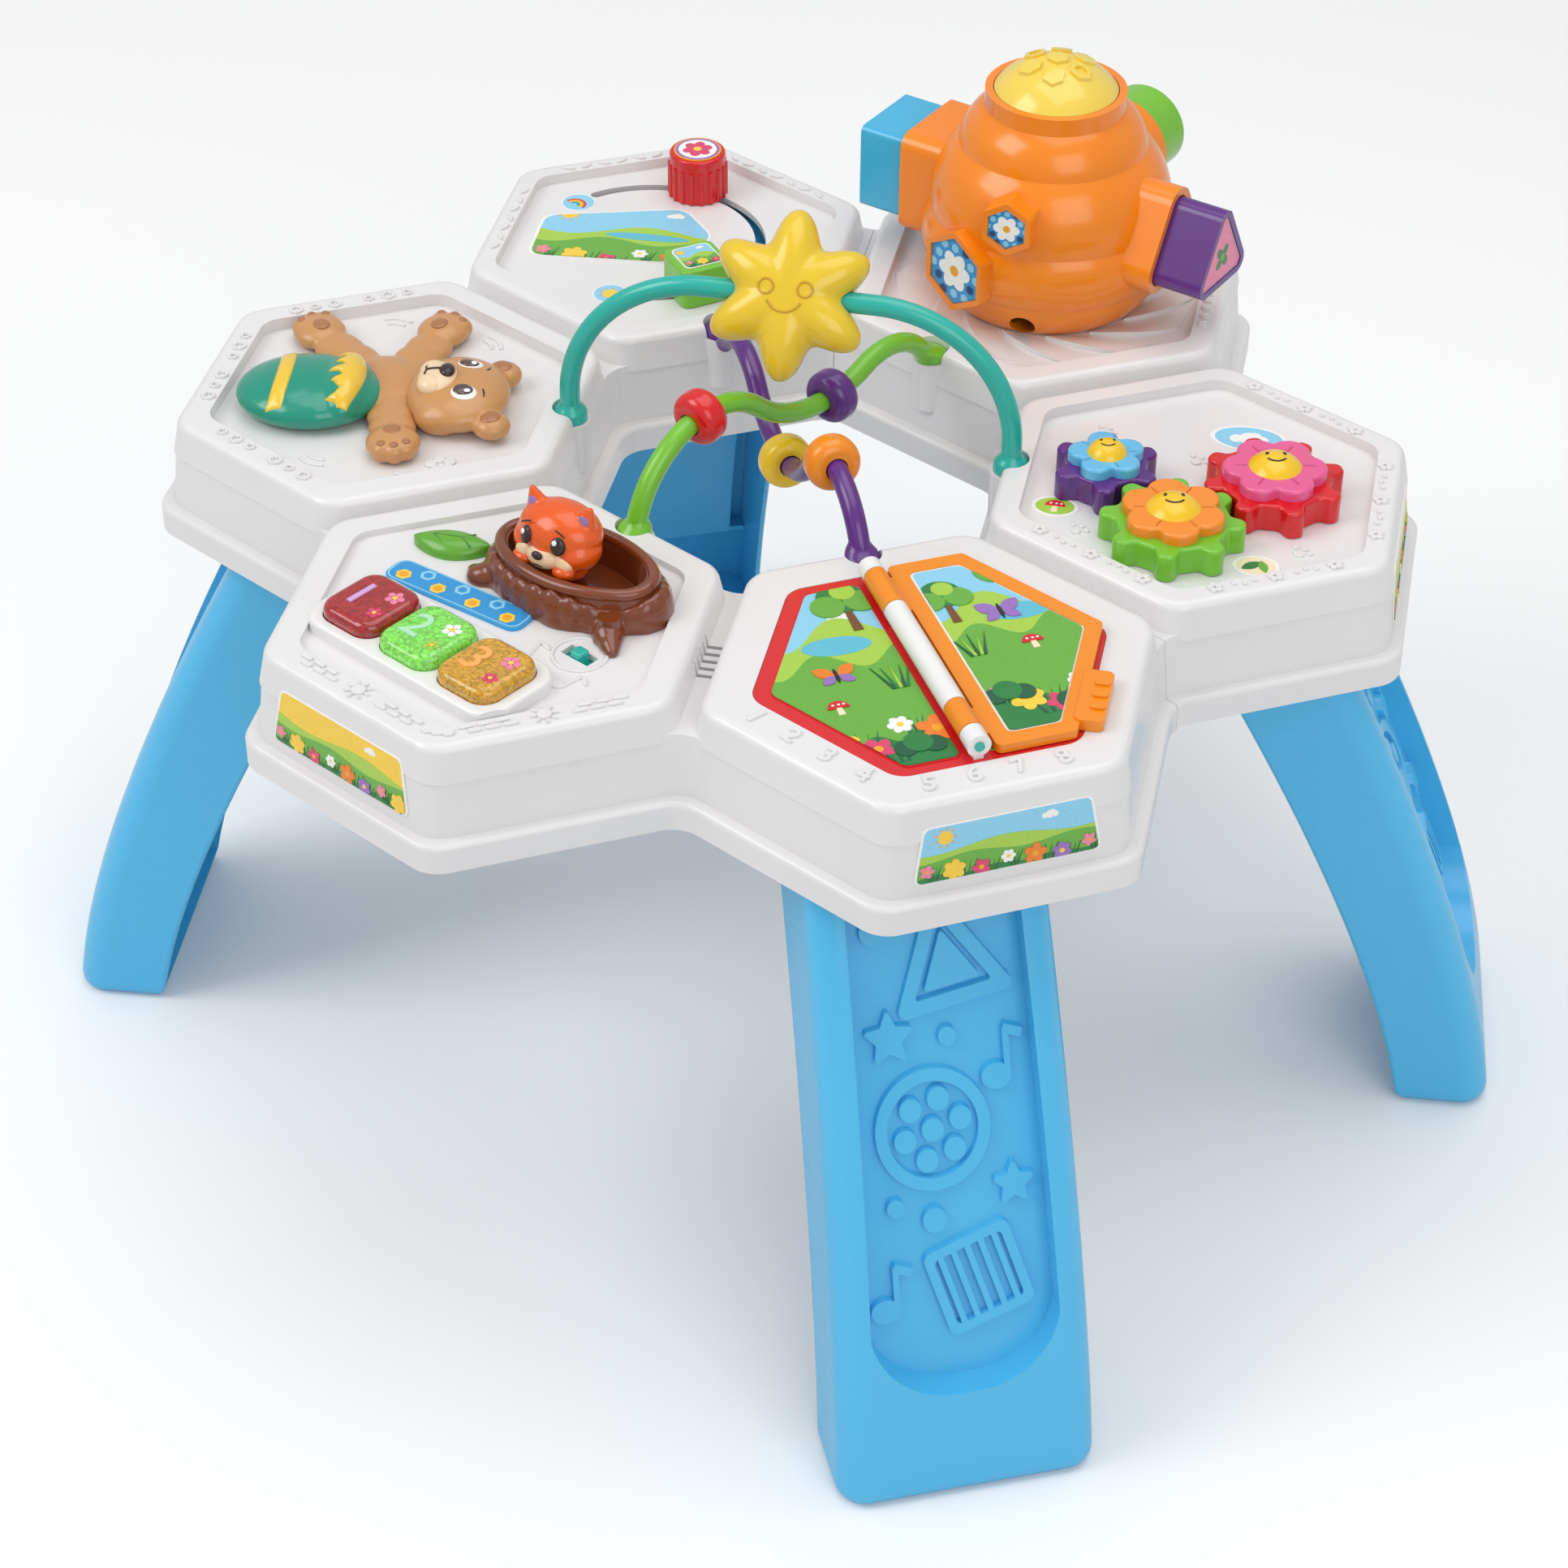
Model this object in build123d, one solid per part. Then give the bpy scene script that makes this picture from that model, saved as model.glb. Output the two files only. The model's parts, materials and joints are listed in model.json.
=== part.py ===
from build123d import *
import math
import os

os.makedirs("parts", exist_ok=True)

# Table top: a ring of six hexagonal tiles, sizes in millimetres, Z up from the floor
TILE_PITCH = 180.0
RIM_Z = 312.0
SHELL_DROP = 54.0
WALL = 3.0
FLANGE = 4.0
FLANGE_HEIGHT = 13.0
VALLEY_DEPTH = 13.0
BODY_DRAFT = 4.0
RIM_INSET = 6.0
PLATEAU_DRAFT = 3.0
CORNER_R = 15.0
RIM_ROUND = 4.0
FLANGE_ROUND = 2.5
SEAM_GAP = 0.3
FIT = 0.05
RUN = 0.4

# Trays in the tiles: half width across flats and depth under the rim
TRAY_CORNER = 11.0
TRAY_HALF = {"gears": 73.0, "hive": 72.0, "slider": 74.0, "bear": 71.5, "fox": 71.0, "book": 66.0}
TRAY_DEPTH = {"gears": 5.0, "hive": 5.0, "slider": 5.0, "bear": 6.0, "fox": 3.0, "book": 2.5}
TILE_ANGLE = {"gears": 30.0, "hive": 90.0, "slider": 150.0, "bear": 210.0, "fox": 270.0, "book": 330.0}

# Bottom cover, its bosses and screws
COVER_T = 2.5
COVER_RISE = 1.0
BOSS_R = 4.5
SCREW_R = 1.7
SCREW_HEAD_R = 3.4
SCREW_LEN = 12.0

# Legs: curved channels on the corners of a rectangle
LEG_ANGLE = 35.0
LEG_FOOT_OUT = 338.0
LEG_HEAD_OUT = 218.0
LEG_FOOT_DEPTH = 43.0
LEG_HEAD_DEPTH = 62.0
LEG_FOOT_WIDTH = 112.0
LEG_HEAD_WIDTH = 97.0
LEG_TOP = 296.0
LEG_BOW = 1.4
LEG_EDGE = 13.0
LEG_BACK_EDGE = 2.0
LEG_WALL = 3.0
LEG_FOOT_T = 6.0
PANEL_DEPTH = 12.0
PANEL_RIM = 14.0
PANEL_Z0 = 50.0
PANEL_TOP_GAP = 18.0
PANEL_CORNER = 36.0
EMBOSS = 3.0
SEAT_LEN = 40.0
SEAT_WIDTH = 24.0
LEG_SCREW_PITCH = 22.0

# Bead wires
WIRE_R = 4.5
POST_R = 98.0
POST_DROP = 6.0
POST_BOSS = 9.0
POST_LEN = 24.0
POST_SINK = 20.6
ARCH_RISE = 68.0
ARCH_BEND = 61.0
BEAD_R = 12.0
BEAD_LEN = 14.0
BEAD_BORE_GAP = 0.5
BEAD_ROUND = 5.5
STAR_TIP = 37.0
STAR_VALLEY = 24.0
STAR_HALF = 14.0
STAR_TILT = 38.0

# Gears
TOOTH_MODULE = 7.0
TEETH_BIG = 8
TEETH_SMALL = 6
TOOTH_DEPTH = 3.3
TOOTH_BACK = 0.25
GEAR_T = 12.0
AXLE_R = 4.0
AXLE_LEN = 9.0
GREEN_X = 14.5
GREEN_Y = -40.0
RED_BEARING = 76.6
PURPLE_BEARING = 162.0
FLOWER_RATIO = 0.80
PETAL_SHARE = 0.40
FLOWER_T = 5.0
FLOWER_DOME_R = 11.0
FLOWER_DOME_H = 5.0

# Sliding knobs in a curved slot
SLOT_X = -9.0
SLOT_Y = -3.0
SLOT_R = 52.5
SLOT_W = 5.0
SLOT_FROM = -52.0
SLOT_TO = 163.0
KNOB_R = 14.5
KNOB_H = 23.0
KNOB_RED_AT = 107.0
KNOB_SQ = 25.0
KNOB_SQ_H = 19.0
KNOB_GREEN_AT = -22.0
CLIP_R = 6.0
CLIP_T = 2.0

# Hive with its dome button and three blocks
HIVE_FOOT_R = 44.0
HIVE_RING_R = 58.5
HIVE_NECK_R = 32.0
HIVE_RISE = 0.5
HIVE_TALL = 102.0
HIVE_WALL = 3.0
SOCKET_LIP = 66.0
SOCKET_SEAT = 30.0
SOCKET_Z = 44.0
SOCKET_WALL = 3.5
SOCKET_FROM = 8.0
BLOCK_REACH = 90.0
BLOCK_SIZE = 41.0
BLOCK_TRI = 29.0
BLOCK_ROUND = 3.0
BLOCK_GAP = 0.5
DOME_R = 28.0
DOME_H = 14.0
DOME_SKIRT = 9.0
DOME_TRAVEL = 3.0
TABLE_PIVOT_R = 12.0

# Number buttons, bezel, log and figure on the light tile
BUTTON_W = 31.0
BUTTON_D = 34.0
BUTTON_PITCH = 33.0
BUTTON_Y = -37.0
BUTTON_UP = 12.0
BUTTON_DOWN = 8.0
BUTTON_TRAVEL = 3.0
BEZEL_T = 6.0
BEZEL_EDGE = 5.0
LOG_X = 13.0
LOG_Y = 35.0
LOG_LEN = 82.0
LOG_DEPTH = 46.0
LOG_H = 17.0
LOG_TURN = 7.0
BOWL_LEN = 66.0
BOWL_DEPTH = 36.0
BOWL_FLOOR = 4.0
FOX_W = 38.0
FOX_D = 30.0
FOX_H = 41.0
FOX_TRAVEL = 16.0
LABEL_T = 1.5
SWITCH_X = 45.0
SWITCH_Y = 3.0
SWITCH_TRAVEL = 8.0

# Figure on the bear tile
FIGURE_GAP = 0.5
PIVOT_R = 5.0
FIGURE_T = 9.0

# Book: bed, spine and turning page
BED_HALF = 65.8
BED_T = 2.3
HINGE_T = -4.0
HINGE_UP = 6.2
BARREL_R = 5.0
PIN_R = 2.0
PAGE_T = 4.0
PAGE_EDGE = 7.5
PAGE_FRAME = 7.0
CARD_T = 2.0
KNUCKLE_GAP = 0.5

# Electronics
BOARD_T = 1.6
BOARD_DROP = 25.0
BATTERY_R = 7.2
BATTERY_LEN = 50.0
BATTERY_COUNT = 3
CELL_SHIFT = 4.0
BOX_WALL = 2.0
SPEAKER_R = 18.0
SPEAKER_T = 11.0

# Derived heights
BASE_Z = RIM_Z - SHELL_DROP
VALLEY_Z = RIM_Z - VALLEY_DEPTH
COVER_Z = BASE_Z + COVER_RISE
POST_Z = RIM_Z - POST_DROP
C30 = math.cos(math.radians(30))


def polar(r, a):
    return r * math.cos(math.radians(a)), r * math.sin(math.radians(a))


def centre(tile):
    return polar(TILE_PITCH, TILE_ANGLE[tile])


def spot(tile, dx, dy):
    cx, cy = centre(tile)
    return cx + dx, cy + dy


def floor_z(tile):
    return RIM_Z - TRAY_DEPTH[tile]


def save(node, shape):
    export_step(shape, "parts/" + node + ".step")


def hexagon(half, corner):
    pts = [polar(half / C30, 60 * k) for k in range(6)]
    face = make_face(Polyline(*pts, close=True))
    return fillet(face.vertices(), corner)


def ring_outline(grow, corner):
    pts = []
    for a in sorted(TILE_ANGLE.values()):
        cx, cy = polar(TILE_PITCH, a)
        for turn in (-30, 30):
            x, y = polar((TILE_PITCH / 2 + grow) / C30, a + turn)
            pts.append((cx + x, cy + y))
        pts.append(polar(TILE_PITCH / C30 + grow / C30, a + 30))
    face = make_face(Polyline(*pts, close=True))
    return fillet(face.vertices(), corner)


def ring(grow, top_grow, z0, z1, corner):
    outer = loft([Pos(0, 0, z0) * ring_outline(grow, corner),
                  Pos(0, 0, z1) * ring_outline(top_grow, corner)], ruled=True)
    hole = loft([Pos(0, 0, z0) * hexagon(TILE_PITCH / 2 - grow, corner),
                 Pos(0, 0, z1) * hexagon(TILE_PITCH / 2 - top_grow, corner)], ruled=True)
    return outer - hole


def rod(x, y, z0, z1, r):
    return Pos(x, y, z0) * Cylinder(r, z1 - z0, align=(Align.CENTER, Align.CENTER, Align.MIN))


def block(x, y, z0, z1, w, d, turn=0.0, corner=0.0):
    face = RectangleRounded(w, d, corner) if corner else Rectangle(w, d)
    return Pos(x, y, z0) * Rot(0, 0, turn) * extrude(face, amount=z1 - z0)


def soften_top(shape, r):
    return fillet(shape.faces().sort_by(Axis.Z)[-1].edges(), r)


# Leg profile helpers: a leg is drawn along +X at the table's centre and turned into place
def leg_out(z):
    return LEG_FOOT_OUT - (LEG_FOOT_OUT - LEG_HEAD_OUT) * (max(z, 0.0) / LEG_TOP) ** LEG_BOW


def leg_depth(z):
    return LEG_FOOT_DEPTH + (LEG_HEAD_DEPTH - LEG_FOOT_DEPTH) * z / LEG_TOP


def leg_half(z):
    return (LEG_FOOT_WIDTH + (LEG_HEAD_WIDTH - LEG_FOOT_WIDTH) * z / LEG_TOP) / 2


def leg_section(z, u0, u1, half, front, back):
    pts = [(u0, -half), (u1, -half), (u1, half), (u0, half)]
    face = make_face(Polyline(*pts, close=True))
    face = fillet(face.vertices().group_by(Axis.X)[-1], front)
    if back:
        face = fillet(face.vertices().group_by(Axis.X)[0], back)
    return Pos(0, 0, z) * face


def leg_levels(z0, z1, count):
    return [z0 + (z1 - z0) * k / (count - 1) for k in range(count)]


def leg_loft(z0, z1, inner, outer, side, front, back=0.0, count=7):
    cuts = []
    for z in leg_levels(z0, z1, count):
        u0 = leg_out(z) - leg_depth(z) + inner
        cuts.append(leg_section(z, u0, leg_out(z) + outer, leg_half(z) - side, front, back))
    return loft(cuts)


def leg_placed(shape, angle):
    return Rot(0, 0, angle) * shape


LEG_ANGLES = {"gears": LEG_ANGLE, "slider": 180 - LEG_ANGLE, "bear": 180 + LEG_ANGLE, "book": -LEG_ANGLE}
SEAT_U = LEG_HEAD_OUT - LEG_HEAD_DEPTH / 2

# Gear train positions on the gear tile
PITCH_BIG = TOOTH_MODULE * TEETH_BIG / 2
PITCH_SMALL = TOOTH_MODULE * TEETH_SMALL / 2
red_dx, red_dy = polar(2 * PITCH_BIG, RED_BEARING)
purple_dx, purple_dy = polar(PITCH_BIG + PITCH_SMALL, PURPLE_BEARING)
GEAR_AT = {"green": spot("gears", GREEN_X, GREEN_Y),
           "red": spot("gears", GREEN_X + red_dx, GREEN_Y + red_dy),
           "purple": spot("gears", GREEN_X + purple_dx, GREEN_Y + purple_dy)}

# Bead wires: planar runs of tangent arcs, each in the upright plane of its two posts
def in_plane(s, z, angle):
    x, y = polar(s, angle)
    return (x, y, z)


def arc_edge(c, r, a0, a1, angle):
    pts = []
    for a in (a0, (a0 + a1) / 2, a1):
        dx, dz = polar(r, a)
        pts.append(in_plane(c[0] + dx, c[1] + dz, angle))
    return ThreePointArc(*pts)


def tube(edges, radius, start, heading):
    section = Plane(origin=start, z_dir=heading) * Circle(radius)
    return sweep(section, path=Wire(edges))


def joint_centre(c1, r1, c2, r2, r):
    d = math.hypot(c2[0] - c1[0], c2[1] - c1[1])
    a = ((r1 + r) ** 2 - (r2 + r) ** 2 + d * d) / (2 * d)
    h = math.sqrt((r1 + r) ** 2 - a * a)
    ex, ez = (c2[0] - c1[0]) / d, (c2[1] - c1[1]) / d
    return (c1[0] + a * ex - h * ez, c1[1] + a * ez + h * ex)


def bearing(c, p):
    return math.degrees(math.atan2(p[1] - c[1], p[0] - c[0]))


SINK_Z = POST_Z - POST_SINK + FIT
ARCH_Z = POST_Z + ARCH_RISE + ARCH_BEND * 0.1
ARCH_SPRING = ARCH_Z - ARCH_BEND
ARCH_FLAT = POST_R - ARCH_BEND
TEAL_ANGLE = TILE_ANGLE["gears"]
teal = [Line(in_plane(-POST_R, SINK_Z, TEAL_ANGLE), in_plane(-POST_R, ARCH_SPRING, TEAL_ANGLE)),
        arc_edge((-ARCH_FLAT, ARCH_SPRING), ARCH_BEND, 180, 90, TEAL_ANGLE),
        Line(in_plane(-ARCH_FLAT, ARCH_Z, TEAL_ANGLE), in_plane(ARCH_FLAT, ARCH_Z, TEAL_ANGLE)),
        arc_edge((ARCH_FLAT, ARCH_SPRING), ARCH_BEND, 90, 0, TEAL_ANGLE),
        Line(in_plane(POST_R, ARCH_SPRING, TEAL_ANGLE), in_plane(POST_R, SINK_Z, TEAL_ANGLE))]

# Each wave wire has two crests and a trough between them: crest radius and height over the posts
GREEN_R1 = 46.5
GREEN_R2 = 34.0
GREEN_RT = 66.0
GREEN_UP1 = -6.0
GREEN_UP2 = -14.5
VIOLET_R1 = 32.0
VIOLET_R2 = 36.0
VIOLET_RT = 50.0
VIOLET_UP1 = -20.0
VIOLET_UP2 = -10.0


def wave_wire(angle, r1, up1, r2, up2, rt):
    c1 = (-POST_R + r1, POST_Z + up1)
    c2 = (POST_R - r2, POST_Z + up2)
    ct = joint_centre(c1, r1, c2, r2, rt)
    a1 = bearing(c1, ct)
    a2 = bearing(c2, ct)
    edges = [Line(in_plane(-POST_R, SINK_Z, angle), in_plane(-POST_R, c1[1], angle)),
             arc_edge(c1, r1, 180, a1, angle),
             arc_edge(ct, rt, a1 - 180, a2 - 180, angle),
             arc_edge(c2, r2, a2, 0, angle),
             Line(in_plane(POST_R, c2[1], angle), in_plane(POST_R, SINK_Z, angle))]
    return edges, c1, ct, c2, a1, a2


GREEN_ANGLE = TILE_ANGLE["hive"]
VIOLET_ANGLE = TILE_ANGLE["book"]
green, g1, gt, g2, ga1, ga2 = wave_wire(GREEN_ANGLE, GREEN_R1, GREEN_UP1, GREEN_R2, GREEN_UP2, GREEN_RT)
violet, v1, vt, v2, va1, va2 = wave_wire(VIOLET_ANGLE, VIOLET_R1, VIOLET_UP1, VIOLET_R2, VIOLET_UP2, VIOLET_RT)
WIRES = {"teal": (teal, TEAL_ANGLE), "green": (green, GREEN_ANGLE), "purple": (violet, VIOLET_ANGLE)}


def wire_tube(name, radius):
    edges, angle = WIRES[name]
    return tube(edges, radius, in_plane(-POST_R, SINK_Z, angle), (0, 0, 1))


for name in WIRES:
    save("wire_" + name, wire_tube(name, WIRE_R))

# Table top shell
low = ring(FLANGE, FLANGE, BASE_Z, BASE_Z + FLANGE_HEIGHT, CORNER_R)
low = fillet(low.faces().sort_by(Axis.Z)[-1].edges(), FLANGE_ROUND)
body = ring(0.0, -BODY_DRAFT, BASE_Z, VALLEY_Z, CORNER_R)
shell = low + body
plateau_half = TILE_PITCH / 2 - RIM_INSET
for tile in TILE_ANGLE:
    cx, cy = centre(tile)
    plateau = loft([Pos(0, 0, VALLEY_Z - WALL) * hexagon(plateau_half + PLATEAU_DRAFT, CORNER_R),
                    Pos(0, 0, RIM_Z) * hexagon(plateau_half, CORNER_R)], ruled=True)
    shell += Pos(cx, cy, 0) * soften_top(plateau, RIM_ROUND)

hollow = ring(FLANGE - WALL, FLANGE - WALL, BASE_Z - WALL, BASE_Z + FLANGE_HEIGHT - WALL, CORNER_R)
hollow += ring(-WALL, -BODY_DRAFT - WALL, BASE_Z, VALLEY_Z - WALL, CORNER_R)
for tile in TILE_ANGLE:
    cx, cy = centre(tile)
    room = loft([Pos(0, 0, VALLEY_Z - 2 * WALL) * hexagon(plateau_half + PLATEAU_DRAFT - WALL, CORNER_R),
                 Pos(0, 0, floor_z(tile) - WALL) * hexagon(plateau_half - WALL, CORNER_R)], ruled=True)
    hollow += Pos(cx, cy, 0) * room
shell -= hollow
for tile in TILE_ANGLE:
    cx, cy = centre(tile)
    tray = extrude(hexagon(TRAY_HALF[tile], TRAY_CORNER), amount=TRAY_DEPTH[tile] + RIM_ROUND)
    shell -= Pos(cx, cy, floor_z(tile)) * tray

# Wire posts on the inner edge of each tile
for a in TILE_ANGLE.values():
    x, y = polar(POST_R, a)
    shell += rod(x, y, POST_Z - POST_LEN, POST_Z, POST_BOSS)
    shell -= rod(x, y, POST_Z, RIM_Z + RIM_ROUND, POST_BOSS - 1.0)

for name in WIRES:
    shell -= wire_tube(name, WIRE_R + FIT)

# Screw bosses for the bottom cover, one under each tile
BOSS_SIDE = {"gears": -14, "hive": -14, "slider": 14, "bear": -14, "fox": -14, "book": 14}
BOSS_AT = [polar(TILE_PITCH * C30, TILE_ANGLE[t] + BOSS_SIDE[t]) for t in TILE_ANGLE]
for tile, (x, y) in zip(TILE_ANGLE, BOSS_AT):
    shell += rod(x, y, COVER_Z + COVER_T, floor_z(tile) - WALL / 2, BOSS_R)
    shell -= rod(x, y, COVER_Z, COVER_Z + COVER_T + SCREW_LEN, SCREW_R + FIT)

# Leg seats under the four tiles that carry legs
for tile, a in LEG_ANGLES.items():
    x, y = polar(SEAT_U, a)
    shell += block(x, y, LEG_TOP, floor_z(tile) - WALL / 2, SEAT_WIDTH, SEAT_LEN, a)
    for s in (-1, 1):
        sx, sy = polar(s * LEG_SCREW_PITCH / 2, a + 90)
        shell -= rod(x + sx, y + sy, LEG_TOP - 1, LEG_TOP + SCREW_LEN / 2, SCREW_R + FIT)

# Slot of the sliding knobs
slot_x, slot_y = spot("slider", SLOT_X, SLOT_Y)
slot_arc = CenterArc((slot_x, slot_y), SLOT_R, SLOT_FROM, SLOT_TO - SLOT_FROM)
slot_cut = extrude(SlotArc(slot_arc, SLOT_W), amount=4 * WALL)
shell -= Pos(0, 0, floor_z("slider") - 2 * WALL) * slot_cut

# Button wells and board posts on the light tile
fox_floor = floor_z("fox")
BUTTON_XY = [spot("fox", (k - 1) * BUTTON_PITCH, BUTTON_Y) for k in range(3)]
for x, y in BUTTON_XY:
    shell -= block(x, y, fox_floor - 2 * WALL, fox_floor + 1, BUTTON_W + 2 * RUN, BUTTON_D + 2 * RUN,
                   0, 6.0)
board_z = fox_floor - BOARD_DROP
BOARD_LEN = 3 * BUTTON_PITCH + 6
BOARD_WIDTH = BUTTON_D + 10
for sx in (-1, 1):
    px, py = spot("fox", sx * (BOARD_LEN / 2 - 3), BUTTON_Y + BOARD_WIDTH / 2 - 3)
    shell += rod(px, py, board_z + BOARD_T, fox_floor - WALL / 2, 3.0)

# Slide switch window
sw_x, sw_y = spot("fox", SWITCH_X, SWITCH_Y)
shell -= block(sw_x, sw_y, fox_floor - 2 * WALL, fox_floor + 1, 6.0 + SWITCH_TRAVEL + 2 * RUN, 6.0 + 2 * RUN)

# Speaker slots across the valley between the light tile and the book tile
for k in range(5):
    gx, gy = polar(TILE_PITCH * C30 + (k - 2) * 5.0, 300)
    slot = Rot(0, 0, 30) * SlotOverall(11.0, 2.0)
    shell -= Pos(gx, gy, VALLEY_Z - 2 * WALL) * extrude(slot, amount=4 * WALL)

# The ring is split into two mouldings along the tile edges at 0 and 120 degrees
WEDGE = 2.4 * TILE_PITCH
wedge_pts = [(0, 0), polar(WEDGE, 0), polar(2 * WEDGE, 60), polar(WEDGE, 120)]
wedge = Pos(0, 0, BASE_Z - 20) * extrude(make_face(Polyline(*wedge_pts, close=True)), amount=SHELL_DROP + 60)
shift_x, shift_y = polar(SEAM_GAP, 60)
table_side = shell & (Pos(shift_x, shift_y, 0) * wedge)
table_main = shell - wedge
save("table_top_main", table_main)
save("table_top_side", table_side)

# Leg: lofted channel with a sunk front panel and raised play motifs
foot_cuts = []
for z, inset in ((0.0, 5.0), (1.5, 2.0), (4.0, 0.5), (7.0, 0.0)):
    u0 = leg_out(z) - leg_depth(z) + inset
    foot_cuts.append(leg_section(z, u0, leg_out(z) - inset, leg_half(z) - inset, LEG_EDGE - inset,
                                 LEG_BACK_EDGE))
leg = loft(foot_cuts, ruled=True)
leg += leg_loft(7.0, LEG_TOP, 0.0, 0.0, 0.0, LEG_EDGE, LEG_BACK_EDGE)
web = PANEL_DEPTH + LEG_WALL
leg -= leg_loft(LEG_FOOT_T, LEG_TOP - LEG_WALL, -2 * LEG_WALL, -web, LEG_WALL, 2.0)
leg -= leg_loft(LEG_FOOT_T, PANEL_Z0 - LEG_WALL, -2 * LEG_WALL, -LEG_WALL, LEG_WALL, LEG_EDGE - LEG_WALL,
                0.0, 4)
panel_z1 = LEG_TOP - PANEL_TOP_GAP
for s in (-1, 1):
    cuts = []
    for z in leg_levels(PANEL_Z0, panel_z1, 6):
        u0 = leg_out(z) - leg_depth(z) / 2
        mid = s * (leg_half(z) - PANEL_RIM / 2)
        wide = PANEL_RIM - 2 * LEG_WALL
        pts = [(u0, mid - wide / 2), (leg_out(z) - 1.6 * LEG_WALL, mid - wide / 2),
               (leg_out(z) - 1.6 * LEG_WALL, mid + wide / 2), (u0, mid + wide / 2)]
        cuts.append(Pos(0, 0, z) * make_face(Polyline(*pts, close=True)))
    leg -= loft(cuts)
panel_cuts = []
slab_cuts = []
for z in leg_levels(PANEL_Z0, panel_z1, 7):
    back = leg_out(z) - PANEL_DEPTH
    panel_cuts.append(leg_section(z, back, leg_out(z) + 9, leg_half(z) - PANEL_RIM, 2.0, 0.0))
    slab_cuts.append(leg_section(z, back - 0.5, back + EMBOSS, leg_half(z) - PANEL_RIM, 0.5, 0.0))
panel = loft(panel_cuts)
slab = loft(slab_cuts)
FRONT = Plane(origin=(0, 0, 0), x_dir=(0, 1, 0), z_dir=(1, 0, 0))
u_half = leg_half(PANEL_Z0) - PANEL_RIM
u_pts = [(-u_half, panel_z1 + 1), (-u_half, PANEL_Z0), (u_half, PANEL_Z0), (u_half, panel_z1 + 1)]
u_face = make_face(Polyline(*u_pts, close=True))
u_face = fillet(u_face.vertices().group_by(Axis.Y)[0], PANEL_CORNER)
u_prism = extrude(FRONT * u_face, amount=LEG_FOOT_OUT + 60)
leg -= panel & u_prism


def star_face(tip, valley, points, round_r=0.0, turn=90.0):
    pts = []
    for k in range(points):
        pts.append(polar(tip, turn + 360 * k / points))
        pts.append(polar(valley, turn + 360 * (k + 0.5) / points))
    face = make_face(Polyline(*pts, close=True))
    return fillet(face.vertices(), round_r) if round_r else face


def note_face():
    stem = Pos(5.0, 9.0) * Rectangle(2.6, 18.0)
    flag = Pos(8.0, 16.5) * Rot(0, 0, -18) * Rectangle(8.0, 3.6)
    return Pos(0, 0) * Ellipse(6.2, 5.0) + stem + flag


motifs = Pos(-6, 155) * (Circle(24) - Circle(19))
for x, y in [(0, 0)] + [polar(12.2, 60 * k + 15) for k in range(6)]:
    motifs += Pos(-6 + x, 155 + y) * Circle(4.6)
frame_sq = RectangleRounded(38, 38, 4) - RectangleRounded(30, 30, 2)
for k in range(5):
    frame_sq += Pos((k - 2) * 6.0, 0) * Rectangle(2.6, 30)
motifs += Pos(9, 92) * Rot(0, 0, 17) * frame_sq
tri_out = star_face(30, 15, 3, 3.0, 98)
tri_in = star_face(19, 9.5, 3, 1.0, 98)
motifs += Pos(6, 216) * (tri_out - tri_in)
motifs += Pos(6, 216) * star_face(14, 7, 3, 1.0, 98)
motifs += Pos(-21, 192) * star_face(11.5, 5.6, 5, 1.0)
motifs += Pos(26, 129) * star_face(10, 4.9, 5, 1.0)
for x, y, r in ((3, 190, 3.6), (-24, 126, 3.6), (-8, 119, 5.0), (-24, 232, 5.0)):
    motifs += Pos(x, y) * Circle(r)
motifs += Pos(22, 172) * note_face()
motifs += Pos(-31, 84) * note_face()
leg += slab & extrude(FRONT * motifs, amount=LEG_FOOT_OUT + 60)
for s in (-1, 1):
    leg -= rod(SEAT_U, s * LEG_SCREW_PITCH / 2, LEG_TOP - 2 * LEG_WALL, LEG_TOP + 1, SCREW_R + FIT)
for tile, a in LEG_ANGLES.items():
    save("leg_" + tile, leg_placed(leg, a))


def screw(x, y, seat_z, up):
    head = rod(x, y, seat_z - 2.0, seat_z, SCREW_HEAD_R)
    head = fillet(head.faces().sort_by(Axis.Z)[0].edges(), 0.8)
    drive = (block(x, y, seat_z - 2.0, seat_z - 0.9, 3.6, 0.9)
             + block(x, y, seat_z - 2.0, seat_z - 0.9, 0.9, 3.6))
    return head + rod(x, y, seat_z, seat_z + up, SCREW_R) - drive


leg_screws = []
for a in LEG_ANGLES.values():
    x, y = polar(SEAT_U, a)
    for s in (-1, 1):
        sx, sy = polar(s * LEG_SCREW_PITCH / 2, a + 90)
        leg_screws.append(screw(x + sx, y + sy, LEG_TOP - LEG_WALL, LEG_WALL + SCREW_LEN / 2 - 1))
save("leg_screws", Compound(children=leg_screws))

# Bottom cover with leg cut-outs and the battery opening
cover_face = ring_outline(FLANGE - WALL - RUN, CORNER_R)
cover_face -= hexagon(TILE_PITCH / 2 - FLANGE + WALL + RUN, CORNER_R)
cover = Pos(0, 0, COVER_Z) * extrude(cover_face, amount=COVER_T)
for a in LEG_ANGLES.values():
    gate_u0 = leg_out(COVER_Z + COVER_T) - leg_depth(COVER_Z) - 2 * RUN
    gate_u1 = leg_out(COVER_Z) + 2 * RUN
    gate_half = leg_half(COVER_Z) + 2 * RUN
    gate = leg_section(COVER_Z - 1, gate_u0, gate_u1, gate_half, LEG_EDGE, 0.0)
    gate = extrude(gate, amount=COVER_T + 2)
    cover -= leg_placed(gate, a)
box_len = BATTERY_LEN + 8
box_wide = BATTERY_COUNT * (2 * BATTERY_R + 0.6) + 2
box_x, box_y = spot("fox", 0, 18)
door_w = box_len + 2 * BOX_WALL
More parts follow.
